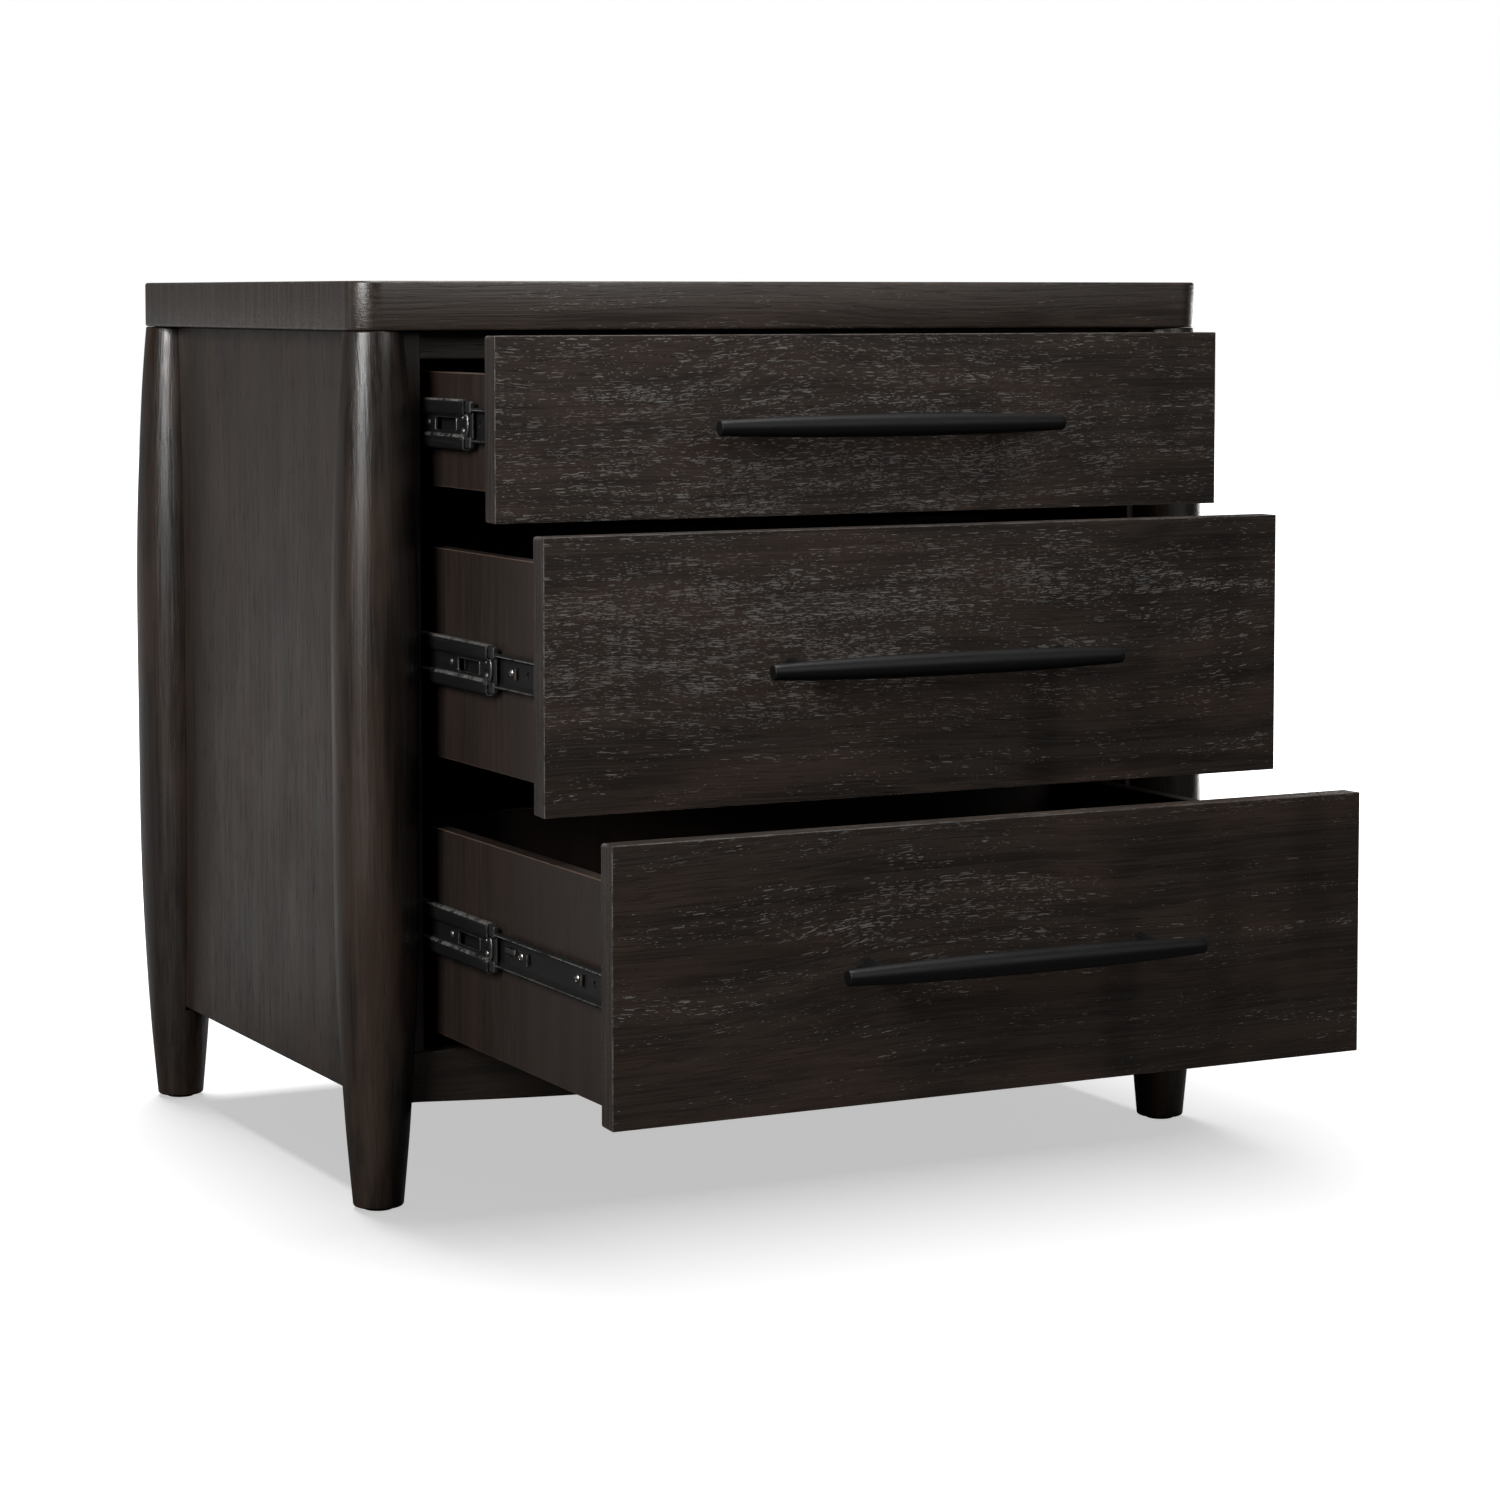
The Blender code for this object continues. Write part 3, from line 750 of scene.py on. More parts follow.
class Finishes:
    """Every material of the nightstand, built once."""

    def __init__(self) -> None:
        """Builds the shared effects and then the materials."""
        self.effects = Effects()
        self.top = self.build(
            WoodFinish("satin_top_wood", GrainAxis.ALONG_X, dark=(0.0195, 0.0138, 0.0104),
                       light=(0.0440, 0.0318, 0.0240), warm=(0.0520, 0.0338, 0.0248),
                       offset=(3.1, 0.7, 0.2), pore_amount=0.16, pore_swing=0.20, ends=True,
                       roughness=0.36, gloss=0.6, end_dark=(0.0200, 0.0150, 0.0120),
                       end_light=(0.0400, 0.0300, 0.0240))
        )
        self.panel = self.build(
            WoodFinish("satin_panel_wood", GrainAxis.ALONG_Z, dark=(0.0135, 0.0091, 0.0067),
                       light=(0.0285, 0.0196, 0.0145), warm=(0.0355, 0.0213, 0.0148),
                       offset=(0.4, 1.9, 0.6), pore_amount=-0.12, pore_swing=0.2, wear=0.35, gloss=0.42)
        )
        self.leg = self.build(
            WoodFinish("satin_turned_wood", GrainAxis.ALONG_Z, dark=(0.0080, 0.0055, 0.0042),
                       light=(0.0205, 0.0143, 0.0104), warm=(0.037, 0.0215, 0.0140),
                       offset=(1.3, 0.2, 2.4), pore_amount=-0.06, pore_swing=0.2, sway=0.012,
                       roughness=0.33, wear=0.3, gloss=0.6)
        )
        self.rail = self.build(
            WoodFinish("satin_rail_wood", GrainAxis.ALONG_X, dark=(0.0125, 0.0090, 0.0068),
                       light=(0.029, 0.0210, 0.0158), warm=(0.034, 0.0215, 0.0155),
                       offset=(5.2, 0.1, 1.1), pore_amount=-0.1, pore_swing=0.2)
        )
        self.fronts = {
            name: self.build(self.front_finish(name, index)) for index, name in enumerate(DRAWERS)
        }
        self.box = self.build(
            WoodFinish("brown_box_wood", GrainAxis.ALONG_Z, dark=(0.0150, 0.0098, 0.0075),
                       light=(0.0200, 0.0130, 0.0100), warm=(0.0235, 0.0138, 0.0104),
                       edge=(0.080, 0.052, 0.037), pore_amount=-0.3, pore_swing=0.0, wear=0.78,
                       roughness=0.48, relief=0.03, strokes=0.12, gloss=0.45)
        )
        self.inner = self.build(
            WoodFinish("matt_inner_wood", GrainAxis.ALONG_X, dark=(0.016, 0.012, 0.010),
                       light=(0.026, 0.020, 0.0165), warm=(0.030, 0.020, 0.016), pore_amount=-0.1,
                       roughness=0.62)
        )
        self.steel = self.build(
            MetalFinish("black_slide_steel", base=(0.0100, 0.0103, 0.0108), worn=(0.20, 0.195, 0.185),
                        metallic=0.30, roughness=0.40, wear=0.52, scratches=0.05, gloss=0.35)
        )
        self.cut_steel = self.build(
            MetalFinish("worn_cut_steel", base=(0.10, 0.10, 0.098), worn=(0.30, 0.29, 0.275),
                        metallic=0.8, roughness=0.38, wear=0.45)
        )
        self.bare_steel = self.build(
            MetalFinish("bright_bare_steel", base=(0.20, 0.195, 0.185), worn=(0.55, 0.50, 0.45),
                        metallic=1.0, roughness=0.30)
        )
        self.cage = self.build(
            MetalFinish("black_cage_plastic", base=(0.010, 0.010, 0.010), worn=(0.05, 0.05, 0.05),
                        metallic=0.0, roughness=0.45, wear=0.3)
        )
        self.iron = self.build(
            MetalFinish("matt_powder_coat", base=(0.0028, 0.0029, 0.0029), worn=(0.03, 0.03, 0.03),
                        metallic=0.0, roughness=0.42, wear=0.15, grit_scale=1500.0, grit=0.10,
                        scratches=0.0, gloss=0.28)
        )
        self.plastic = self.build(
            MetalFinish("black_glide_plastic", base=(0.014, 0.014, 0.014), worn=(0.04, 0.04, 0.04),
                        metallic=0.0, roughness=0.55)
        )

    def build(self, finish: WoodFinish | MetalFinish) -> bpy.types.Material:
        """The material of one finish."""
        return finish.material(self.effects)

    @staticmethod
    def front_finish(name: str, index: int) -> WoodFinish:
        """The open-pored finish of one drawer front, with its own crowd of pores and painted shadows of the
        pull's posts.

        Args:
            name: the drawer.
            index: its number from the top.

        Returns:
            The finish.
        """
        low, high = box_of(f"{name}_drawer_front")
        middle, tall = (low[2] + high[2]) / 2, high[2] - low[2]
        crowds = {
            "top": (Patch((-0.07, 0.0, middle), (0.36, 9.0, 0.9 * tall), 0.20),),
            "middle": (
                Patch((-0.15, 0.0, middle + 0.14 * tall), (0.27, 9.0, 0.38 * tall), 0.26),
                Patch((0.15, 0.0, middle + 0.30 * tall), (0.18, 9.0, 0.16 * tall), 0.20),
            ),
            "bottom": (Patch((-0.08, 0.0, middle + 0.22 * tall), (0.22, 9.0, 0.22 * tall), 0.20),),
        }
        # Painted shadows of the pull's posts: soft dark upright ovals right of the front's middle.
        painted_pull_shadows = tuple(
            Patch((x, 0.0, middle + lift * tall), (0.022, 9.0, 0.55 * tall), strength)
            for x, lift, strength in ((0.10, -0.25, 0.50), (0.19, 0.0, 0.32), (0.27, 0.15, 0.40))
        )
        return WoodFinish(
            f"open_pore_{name}_front_wood",
            GrainAxis.ALONG_X,
            dark=(0.0122, 0.0084, 0.0062),
            light=(0.0330, 0.0232, 0.0172),
            warm=(0.0440, 0.0268, 0.0196),
            offset=(2.7 * index, 0.9, 1.7 * index),
            sway=0.032,
            # A paler, greyer edge than the other woods: partly wear, partly a painted highlight along the
            # front's edges.
            edge=(0.085, 0.076, 0.068),
            wear=0.50,
            pore_amount=(0.23, 0.23, 0.15)[index],
            pore_swing=0.15,
            pore_patches=crowds[name],
            painted_shadow_patches=painted_pull_shadows,
            roughness=0.46,
            gloss=0.33,
            relief=0.40,
            ends=True,
        )


# ---- case ---------------------------------------------------------------------------------------
@dataclass
class TableTop:
    """The thick top with rounded corners and eased edges."""

    finishes: Finishes
    corner_radius: float = 0.0235
    edge_radius: float = 0.0022
    corner_steps: int = 20
    edge_steps: int = 4
    inner_ring: float = 0.020
    outer_ring: float = 0.004

    def build(self) -> bpy.types.Object:
        """Rings of the outline, drawn in by the edge's quarter circles, from the underside up.

        Returns:
            The top.
        """
        low, high = box_of("table_top")
        centre, half = (low + high) / 2, (high - low) / 2
        turn = np.linspace(0, math.pi / 2, self.edge_steps + 1)
        edge = self.edge_radius * (1 - np.sin(turn)), self.edge_radius * (1 - np.cos(turn))
        flat = [self.inner_ring, self.outer_ring]
        inset = np.concatenate([flat, edge[0], edge[0][::-1], flat[::-1]])
        rise = np.concatenate([[0.0, 0.0], edge[1], 2 * half[2] - edge[1][::-1], [2 * half[2]] * 2])
        wear = np.concatenate([[0, 0], np.sin(2 * turn), np.sin(2 * turn), [0, 0]])
        rings = []
        for drawn_in, height in zip(inset, rise):
            outline = rounded_outline(
                half[0] - drawn_in, half[1] - drawn_in, self.corner_radius - drawn_in, self.corner_steps
            )
            level = np.full((len(outline), 1), low[2] + height)
            rings.append(np.hstack([outline + centre[:2], level]))
        rings = np.array(rings)
        shape = Shape().rings(rings, wear=np.repeat(wear, rings.shape[1]))
        piece = shape.piece("table_top_board", self.finishes.top)
        return fitted(piece, "case", "case_wood", "table_top")


@dataclass
class TurnedLeg:
    """A turned leg whose section is a full circle at the foot and wraps the case's corner above."""

    finishes: Finishes
    end: str
    side: str
    arc_steps: int = 66
    notch_steps: int = 6
    rows: int = 150
    fit: float = 0.0003
    rail_end: float = 0.0790
    top_round: float = 0.0013
    foot_band: float = 0.0015
    least_ring: int = 12
    worn_height: float = 0.002
    foot_wear: float = 0.8

    def profile(self) -> tuple[np.ndarray, np.ndarray]:
        """Height and radius up the leg, smoothed through the rings of the CAD leg.

        Returns:
            Heights and radii, from the foot up.
        """
        node = f"{self.end}_{self.side}_leg"
        points = np.array([vertex.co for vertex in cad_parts[node].data.vertices])
        away = np.hypot(*(points[:, :2] - self.axis()).T)
        level = np.round(points[:, 2], 4)
        heights = np.unique(level)
        radii = np.array([away[level == height].max() for height in heights])
        turned = np.array([np.sum(level == height) > self.least_ring for height in heights])
        heights, radii = heights[turned], radii[turned]
        foot = np.searchsorted(heights, heights[0] + self.foot_band)
        shaft = np.linspace(heights[foot], heights[-1], self.rows)
        smooth = smooth_through(heights[foot:], radii[foot:], shaft)
        round_off, turn = heights[foot] - heights[0], np.linspace(0, math.pi / 2, 6)[:-1]
        low = heights[0] + round_off * (1 - np.cos(turn))
        foot_radius = smooth[0] - round_off * (1 - np.sin(turn))
        ease = np.linspace(0, math.pi / 2, 4)[1:]
        shaft[-4:] = shaft[-1] - self.top_round * np.append(1.0, 1 - np.sin(ease))
        smooth[-4:] = smooth[-1] - self.top_round * np.append(0.0, 1 - np.cos(ease))
        return np.concatenate([low, shaft]), np.concatenate([foot_radius, smooth])

    def axis(self) -> np.ndarray:
        """The leg's axis in plan, from the glide under it."""
        low, high = box_of(f"{self.end}_{self.side}_glide")
        return (low[:2] + high[:2]) / 2

    def ring(self, radius: float, step: np.ndarray, notched: bool) -> np.ndarray:
        """One section about the axis, +X and +Y pointing away from the case.

        The arc is kept where it lies outside the case. The rest runs straight in to the case's corner
        and out again where the leg is notched, and follows the circle where it isn't.

        Args:
            radius: the circle's radius.
            step: how far the case's faces stand out from the axis in X and Y.
            notched: whether the case's corner is cut out of the section.

        Returns:
            One (x, y) row per point, counter-clockwise.
        """
        start = -math.acos(step[0] / radius)
        stop = math.pi - math.asin(step[1] / radius)
        arc = np.linspace(start, stop, self.arc_steps)
        kept = radius * np.stack([np.cos(arc), np.sin(arc)], 1)
        share = np.linspace(0, 1, self.notch_steps + 1)[1:, None]
        if notched:
            first = kept[-1] + (step - kept[-1]) * share
            second = step + (kept[0] - step) * share[:-1]
            return np.concatenate([kept, first, second])
        rest = np.linspace(stop, start + 2 * math.pi, 2 * self.notch_steps + 1)[1:-1]
        return np.concatenate([kept, radius * np.stack([np.cos(rest), np.sin(rest)], 1)])

    def build(self) -> bpy.types.Object:
        """Stacks the sections and closes both ends.

        Returns:
            The leg.
        """
        out = np.array([SIDES[self.side], ENDS[self.end]])
        case_low, case_high = box_of(f"{self.side}_side_panel")
        face = np.where(out < 0, case_low[:2], case_high[:2])
        axis = self.axis()
        step = (face - axis) * out + self.fit
        notch_height = self.rail_end - self.fit
        heights, radii = self.profile()
        below, above = heights < notch_height, heights > notch_height
        at_notch = float(np.interp(notch_height, heights, radii))
        sections = [self.ring(r, step, False) for r in [*radii[below], at_notch]]
        sections += [self.ring(r, step, True) for r in [at_notch, *radii[above]]]
        level = np.concatenate([heights[below], [notch_height] * 2, heights[above]])
        flat = np.array(sections) * out + axis
        rings = np.concatenate([flat, np.broadcast_to(level[:, None, None], flat.shape[:2] + (1,))], 2)
        worn = np.repeat(level < heights[0] + self.worn_height, rings.shape[1])
        shape = Shape().rings(rings, wear=worn * self.foot_wear)
        node = f"{self.end}_{self.side}_leg"
        piece = shape.piece(f"{node}_turned", self.finishes.leg)
        return fitted(piece, "case", "leg_wood", node)


@dataclass
class CaseBoards:
    """The flat boards of the case, each with softly rounded edges."""

    finishes: Finishes
    edge: float = 0.0011
    rail_bow: float = 0.011
    rail_low: float = 0.0790
    bow_band: float = 0.012
    bow_steps: int = 48

    def build(self) -> list[bpy.types.Object]:
        """Makes every flat board and the bowed rail.

        Returns:
            The boards.
        """
        wood = {"side_panel": self.finishes.panel, "stile": self.finishes.panel}
        made = []
        for side in SIDES:
            for kind, finish in wood.items():
                made.append(self.board(f"{side}_{kind}", finish, "case_wood"))
            made.append(self.board(f"{side}_rear_batten", self.finishes.inner, "inner_wood"))
        made.append(self.board("back_panel", self.finishes.panel, "case_wood"))
        made.append(self.board("top_rail", self.finishes.rail, "case_wood"))
        made.append(self.board("bottom_panel", self.finishes.inner, "inner_wood"))
        made.append(self.bowed_rail())
        return made

    def board(self, node: str, finish: bpy.types.Material, slot: str) -> bpy.types.Object:
        """One flat board in place of a CAD board."""
        shape = Shape().add(*rounded_box(*box_of(node), self.edge, self.edge))
        return fitted(shape.piece(f"{node}_board", finish), "case", slot, node)

    def bowed_rail(self) -> bpy.types.Object:
        """The rail under the drawers. Its lower edge drops by bow * (1 - along squared) between the legs.

        Returns:
            The rail.
        """
        low, high = box_of("bottom_rail")
        low[2] = self.rail_low
        leg = TurnedLeg(self.finishes, "front", "right")
        reach = leg.profile()[1].max()
        half = leg.axis()[0] - reach
        spans = (self.bow_steps, 1, 1)
        points, quads, wear = rounded_box(low, high, self.edge, self.edge, spans=spans)
        along = np.clip(points[:, 0] / half, -1, 1)
        share = np.clip((low[2] + self.bow_band - points[:, 2]) / self.bow_band, 0, 1)
        points[:, 2] -= share * self.rail_bow * (1 - along**2)
        piece = Shape().add(points, quads, wear).piece("bottom_rail_bowed", self.finishes.rail)
        return fitted(piece, "case", "case_wood", "bottom_rail")


# ---- small hardware -----------------------------------------------------------------------------
@dataclass(frozen=True)
class ScrewHead:
    """A low round screw head with a cross recess."""

    radius: float = 0.0034
    height: float = 0.0016
    recess: float = 0.0011
    rings: int = 9
    turns: int = 40
    dome_power: float = 2.6
    arm_width: float = 0.17
    arm_reach: float = 0.62
    sink: float = 0.0004

    def add_to(self, shape: Shape, seat: Sequence[float], out: Sequence[float], turn: float) -> None:
        """Adds one head.

        Its height is a dome, height * (1 - t to the power 2.6) at t of the radius, less a cross-shaped
        recess that is deepest at the middle.

        Args:
            shape: the shape that takes it.
            seat: the middle of the face that it sits on.
            out: the direction that it faces.
            turn: how far the cross is turned, in radians.
        """
        share = np.linspace(0, 1, self.rings)[::-1][:, None]
        angle = np.linspace(0, 2 * math.pi, self.turns, endpoint=False)[None, :]
        x, y = share * np.cos(angle + turn), share * np.sin(angle + turn)
        dome = self.height * (1 - share**self.dome_power) + 0.0 * angle
        inside = share < self.arm_reach
        arm = np.clip(1 - np.minimum(np.abs(x), np.abs(y)) / self.arm_width, 0, 1) * inside
        cut = np.clip(arm * 2.2, 0, 1) * (1 - share / self.arm_reach * 0.7) * inside
        dome = dome - self.recess * cut
        normal = Vector(out).normalized()
        side = normal.orthogonal().normalized()
        frame_axes = np.array([side, normal.cross(side), normal])
        flat = np.stack([self.radius * x, self.radius * y, dome], 2)
        rim = flat[:1].copy()
        rim[..., 2] = -self.sink
        rings = np.concatenate([rim, flat[:-1]]) @ frame_axes + np.array(seat)
        wear = np.repeat(np.concatenate([[0.0], share[:-1, 0] ** 3]), self.turns)
        shape.rings(rings, wear=wear)


@dataclass(frozen=True)
class Punch:
    """A hole in a blank: a rectangle with round corners, measured along and across the blank."""

    along: float
    across: float
    length: float
    height: float
    corner: float

    def outline(self) -> np.ndarray:
        """The hole's edge as (along, across) rows."""
        radius = min(self.corner, self.length / 2 - 1e-5, self.height / 2 - 1e-5)
        points = rounded_outline(self.length / 2, self.height / 2, radius, 5)
        return points + (self.along, self.across)


@dataclass(frozen=True)
class Section:
    """The path of a folded strip: corners in the plane across the strip, each bent to a radius."""

    corners: tuple[tuple[float, float], ...]
    bend: float
    steps: int = 4

    def path(self) -> np.ndarray:
        """The corners with an arc in place of each inner one.

        Each arc touches both of its straight runs and turns evenly between them.

        Returns:
            One row per point.
        """
        corners = np.array(self.corners)
        points = [corners[0]]
        for before, here, after in zip(corners, corners[1:], corners[2:]):
            into, out = here - before, after - here
            into_length, out_length = np.linalg.norm(into), np.linalg.norm(out)
            into, out = into / into_length, out / out_length
            angle = math.acos(float(np.clip(into @ out, -1, 1)))
            trim = min(self.bend * math.tan(angle / 2), 0.48 * into_length, 0.48 * out_length)
            radius = trim / math.tan(angle / 2)
            turn = 1 if into[0] * out[1] - into[1] * out[0] > 0 else -1
            normal = turn * np.array([-into[1], into[0]])
            centre = here - into * trim + normal * radius
            for share in np.linspace(0, 1, self.steps + 1):
                swing = turn * angle * share
                cos, sin = math.cos(swing), math.sin(swing)
                spoke = -normal * radius
                points.append(centre + (cos * spoke[0] - sin * spoke[1], sin * spoke[0] + cos * spoke[1]))
        points.append(corners[-1])
        return np.array(points)


@dataclass
class FoldedStrip:
    """A blank of sheet steel, punched flat, folded along its length and thickened."""

    section: Section
    length: float
    thickness: float
    punches: Sequence[Punch] = ()
    worn: Sequence[float] = ()
    seams: int = 10
    rim: float = 0.0007
    fold_wear: float = 0.85

    def surface(self) -> tuple[np.ndarray, list[list[int]], np.ndarray]:
        """The folded middle surface.

        The flat blank is cut into triangles round its holes and along its bends. A point at a distance
        across the blank then lies that far along the section's path.

        Returns:
            Points as (along, path x, path y), triangles, and the wear of each point.
        """
        path = self.section.path()
        run = np.concatenate([[0], np.cumsum(np.linalg.norm(np.diff(path, axis=0), axis=1))])
        width, middle = run[-1], run[-1] / 2
        corners = [(0, 0), (self.length, 0), (self.length, width), (0, width)]
        points: list[tuple[float, float]] = list(corners)
        faces: list[list[int]] = [[0, 1, 2, 3]]
        edges: list[tuple[int, int]] = []
        for across in run[1:-1]:
            points += [(0, across), (self.length, across)]
            edges.append((len(points) - 2, len(points) - 1))
        ends = (self.rim, self.length - self.rim)
        for along in (*ends, *np.linspace(0, self.length, self.seams + 1)[1:-1]):
            points += [(along, 0), (along, width)]
            edges.append((len(points) - 2, len(points) - 1))
        for punch in self.punches:
            outline = punch.outline() + (0, middle)
            faces.append(list(range(len(points), len(points) + len(outline))))
            points += [tuple(point) for point in outline]
        found = delaunay_2d_cdt([Vector(p) for p in points], edges, faces, 1, 1e-7, True)
        flat = np.array([tuple(p) for p in found[0]])
        kept = [list(face) for face, source in zip(found[2], found[5]) if list(source) == [0]]
        across = np.interp(flat[:, 1], run, path[:, 0])
        height = np.interp(flat[:, 1], run, path[:, 1])
        inside = np.minimum(np.minimum(flat[:, 0], self.length - flat[:, 0]),
                            np.minimum(flat[:, 1], width - flat[:, 1]))
        wear = (inside < 1e-5).astype(float)
        for fold in self.worn:
            wear = np.maximum(wear, self.fold_wear * (np.abs(height - fold) < self.rim))
        return np.stack([flat[:, 0], across, height], 1), kept, wear

    def piece(
        self, name: str, place: Callable[[np.ndarray], np.ndarray], face: Any, rim: Any
    ) -> bpy.types.Object:
        """Puts the strip in place and gives it its thickness.

        Args:
            name: the piece's name.
            place: takes (along, path x, path y) rows and returns points in the nightstand's frame.
            face: the material of the faces.
            rim: the material of the cut edges.

        Returns:
            The piece.
        """
        points, faces, wear = self.surface()
        piece = Shape().add(place(points), faces, wear).piece(name, face, weld=False)
        piece.data.materials.append(rim)
        wall = piece.modifiers.new("thickness", "SOLIDIFY")
        wall.thickness = self.thickness
        wall.offset = 0.0
        wall.use_even_offset = True
        wall.material_offset_rim = 1
        return applied(piece)


# ---- slides -------------------------------------------------------------------------------------
@dataclass
class Slide:
    """One ball-bearing slide: channel on the case, travelling carriage, channel on the drawer."""

    finishes: Finishes
    drawer: str
    side: str
    steel: float = 0.0012
    wall: float = 0.00102
    ledge: float = 0.0085
    web_set_in: float = 0.0030
    ball_radius: float = 0.0016
    ball_pitch: float = 0.0055
    balls: int = 14
    cabinet_lip: float = 0.0030
    cabinet_lean: float = 0.0010
    cabinet_bend: float = 0.0024
    slot_pitch: float = 0.064
    carriage_lip: float = 0.0045
    carriage_lean: float = 0.0008
    carriage_bend: float = 0.0022
    channel_lip: float = 0.0016
    channel_lean: float = 0.0006
    channel_shoulder: tuple[float, float] = (0.0026, 0.0040)
    channel_bend: float = 0.0020
    hole_pitch: float = 0.128
    window: Punch = Punch(0.038, 0.0, 0.041, 0.0100, 0.0012)
    carriage_holes: tuple[Punch, ...] = (
        Punch(0.0072, 0.0024, 0.0036, 0.0052, 0.0016),
        Punch(0.160, 0.0, 0.020, 0.007, 0.003),
        Punch(0.290, 0.0, 0.020, 0.007, 0.003),
    )
    repeated_holes: tuple[Punch, ...] = (
        Punch(0.0240, -0.0003, 0.0056, 0.0056, 0.0028),
        Punch(0.0420, 0.0004, 0.0050, 0.0105, 0.0024),
    )
    single_holes: tuple[Punch, ...] = (
        Punch(0.0032, 0.0, 0.0024, 0.0150, 0.0005),
        Punch(0.137, 0.0, 0.0045, 0.0100, 0.0020),
        Punch(0.180, 0.0022, 0.0020, 0.0045, 0.0008),
    )
    screws: tuple[float, ...] = (0.0545, 0.1530, 0.2700, 0.3700)
    tongues: tuple[tuple[float, float], ...] = ((0.0448, 0.0), (0.1395, -0.0004), (0.3000, 0.0))

    def __post_init__(self) -> None:
        """Reads the three members' places from the frame."""
        name = f"{self.drawer}_{self.side}"
        self.sign = SIDES[self.side]
        self.cabinet = box_of(f"{name}_cabinet_channel")
        self.carriage = box_of(f"{name}_slide_carriage")
        self.channel = box_of(f"{name}_drawer_channel")
        self.height = (self.cabinet[0][2] + self.cabinet[1][2]) / 2

    def across(self, box: tuple[np.ndarray, np.ndarray]) -> tuple[float, float]:
        """A member's distances from the case's middle plane: outboard face, inboard face."""
        ends = sorted((abs(box[0][0]), abs(box[1][0])))
        return ends[1], ends[0]

    def placer(self, box: tuple[np.ndarray, np.ndarray]) -> Callable[[np.ndarray], np.ndarray]:
        """A function that puts (along, distance from the middle plane, height) rows in place."""
        def place(rows: np.ndarray) -> np.ndarray:
            """Along runs back from the member's front end."""
            return np.stack([self.sign * rows[:, 1], box[0][1] + rows[:, 0], self.height + rows[:, 2]], 1)
        return place

    def build(self) -> list[bpy.types.Object]:
        """Makes the three members and what they carry.

        Returns:
            The pieces.
        """
        return [
            self.cabinet_channel(),
            self.travelling_carriage(),
            self.ball_cage(),
            self.drawer_channel(),
            self.fasteners(),
        ]

    def pressed(
        self, strip: FoldedStrip, member: str, box: tuple[np.ndarray, np.ndarray], body: str
    ) -> bpy.types.Object:
        """Makes a folded member in place of its CAD node.

        Args:
            strip: the member's blank.
            member: the last words of the CAD node's name.
            box: the node's lowest and highest corner.
            body: the body that it moves with.

        Returns:
            The member.
        """
        node = f"{self.drawer}_{self.side}_{member}"
        steel, cut = self.finishes.steel, self.finishes.cut_steel
        piece = strip.piece(f"{node}_pressed", self.placer(box), steel, cut)
        return fitted(piece, body, "slide_steel", node)

    def add_block(
        self, shape: Shape, away: Sequence[float], along: Sequence[float], up: Sequence[float],
        edge: float, ease: float,
    ) -> None:
        """Adds a block with rounded edges.

        Args:
            shape: the shape that takes it.
            away: its faces' distances from the case's middle plane.
            along: its ends in Y.
            up: its lower and upper face, from the slide's middle line.
            edge: the radius of its edges.
            ease: the width of the flat band beside each edge.
        """
        near, far = sorted(self.sign * distance for distance in away)
        low, high = sorted(up)
        shape.add(*rounded_box((near, along[0], self.height + low), (far, along[1], self.height + high),
                               edge, edge, ease))

    def cabinet_channel(self) -> bpy.types.Object:
        """The channel screwed to the case, open towards the drawer, with slots for its screws."""
        outer, inner = self.across(self.cabinet)
        tall = (self.cabinet[1][2] - self.cabinet[0][2]) / 2 - self.steel / 2
        web = outer - self.steel / 2
        section = Section(
            ((inner, tall - self.cabinet_lip), (inner + self.cabinet_lean, tall), (web, tall),
             (web, -tall), (inner + self.cabinet_lean, -tall), (inner, -tall + self.cabinet_lip)),
            self.cabinet_bend)
        length = self.cabinet[1][1] - self.cabinet[0][1]
        slots = np.arange(0.035, length - 0.03, self.slot_pitch)
        punches = [Punch(y, 0.0, 0.011, 0.0045, 0.002) for y in slots]
        strip = FoldedStrip(section, length, self.wall, punches)
        return self.pressed(strip, "cabinet_channel", self.cabinet, "case")

    def travelling_carriage(self) -> bpy.types.Object:
        """The middle member: a web set in between two raceways, with a window near its front."""
        outer, inner = self.across(self.carriage)
        tall = (self.carriage[1][2] - self.carriage[0][2]) / 2 - self.steel / 2
        shell, web = outer - self.steel / 2, outer - self.web_set_in - self.steel / 2
        half = ((inner, tall - self.carriage_lip), (inner + self.carriage_lean, tall), (shell, tall),
                (shell, self.ledge), (web, self.ledge - self.carriage_bend))
        section = Section(half + tuple((x, -z) for x, z in half[::-1]), self.carriage_bend)
        length = self.carriage[1][1] - self.carriage[0][1]
        punches = (self.window, *self.carriage_holes)
        strip = FoldedStrip(section, length, self.wall, punches, (-self.ledge, tall))
        return self.pressed(strip, "slide_carriage", self.carriage, f"{self.drawer}_carriages")

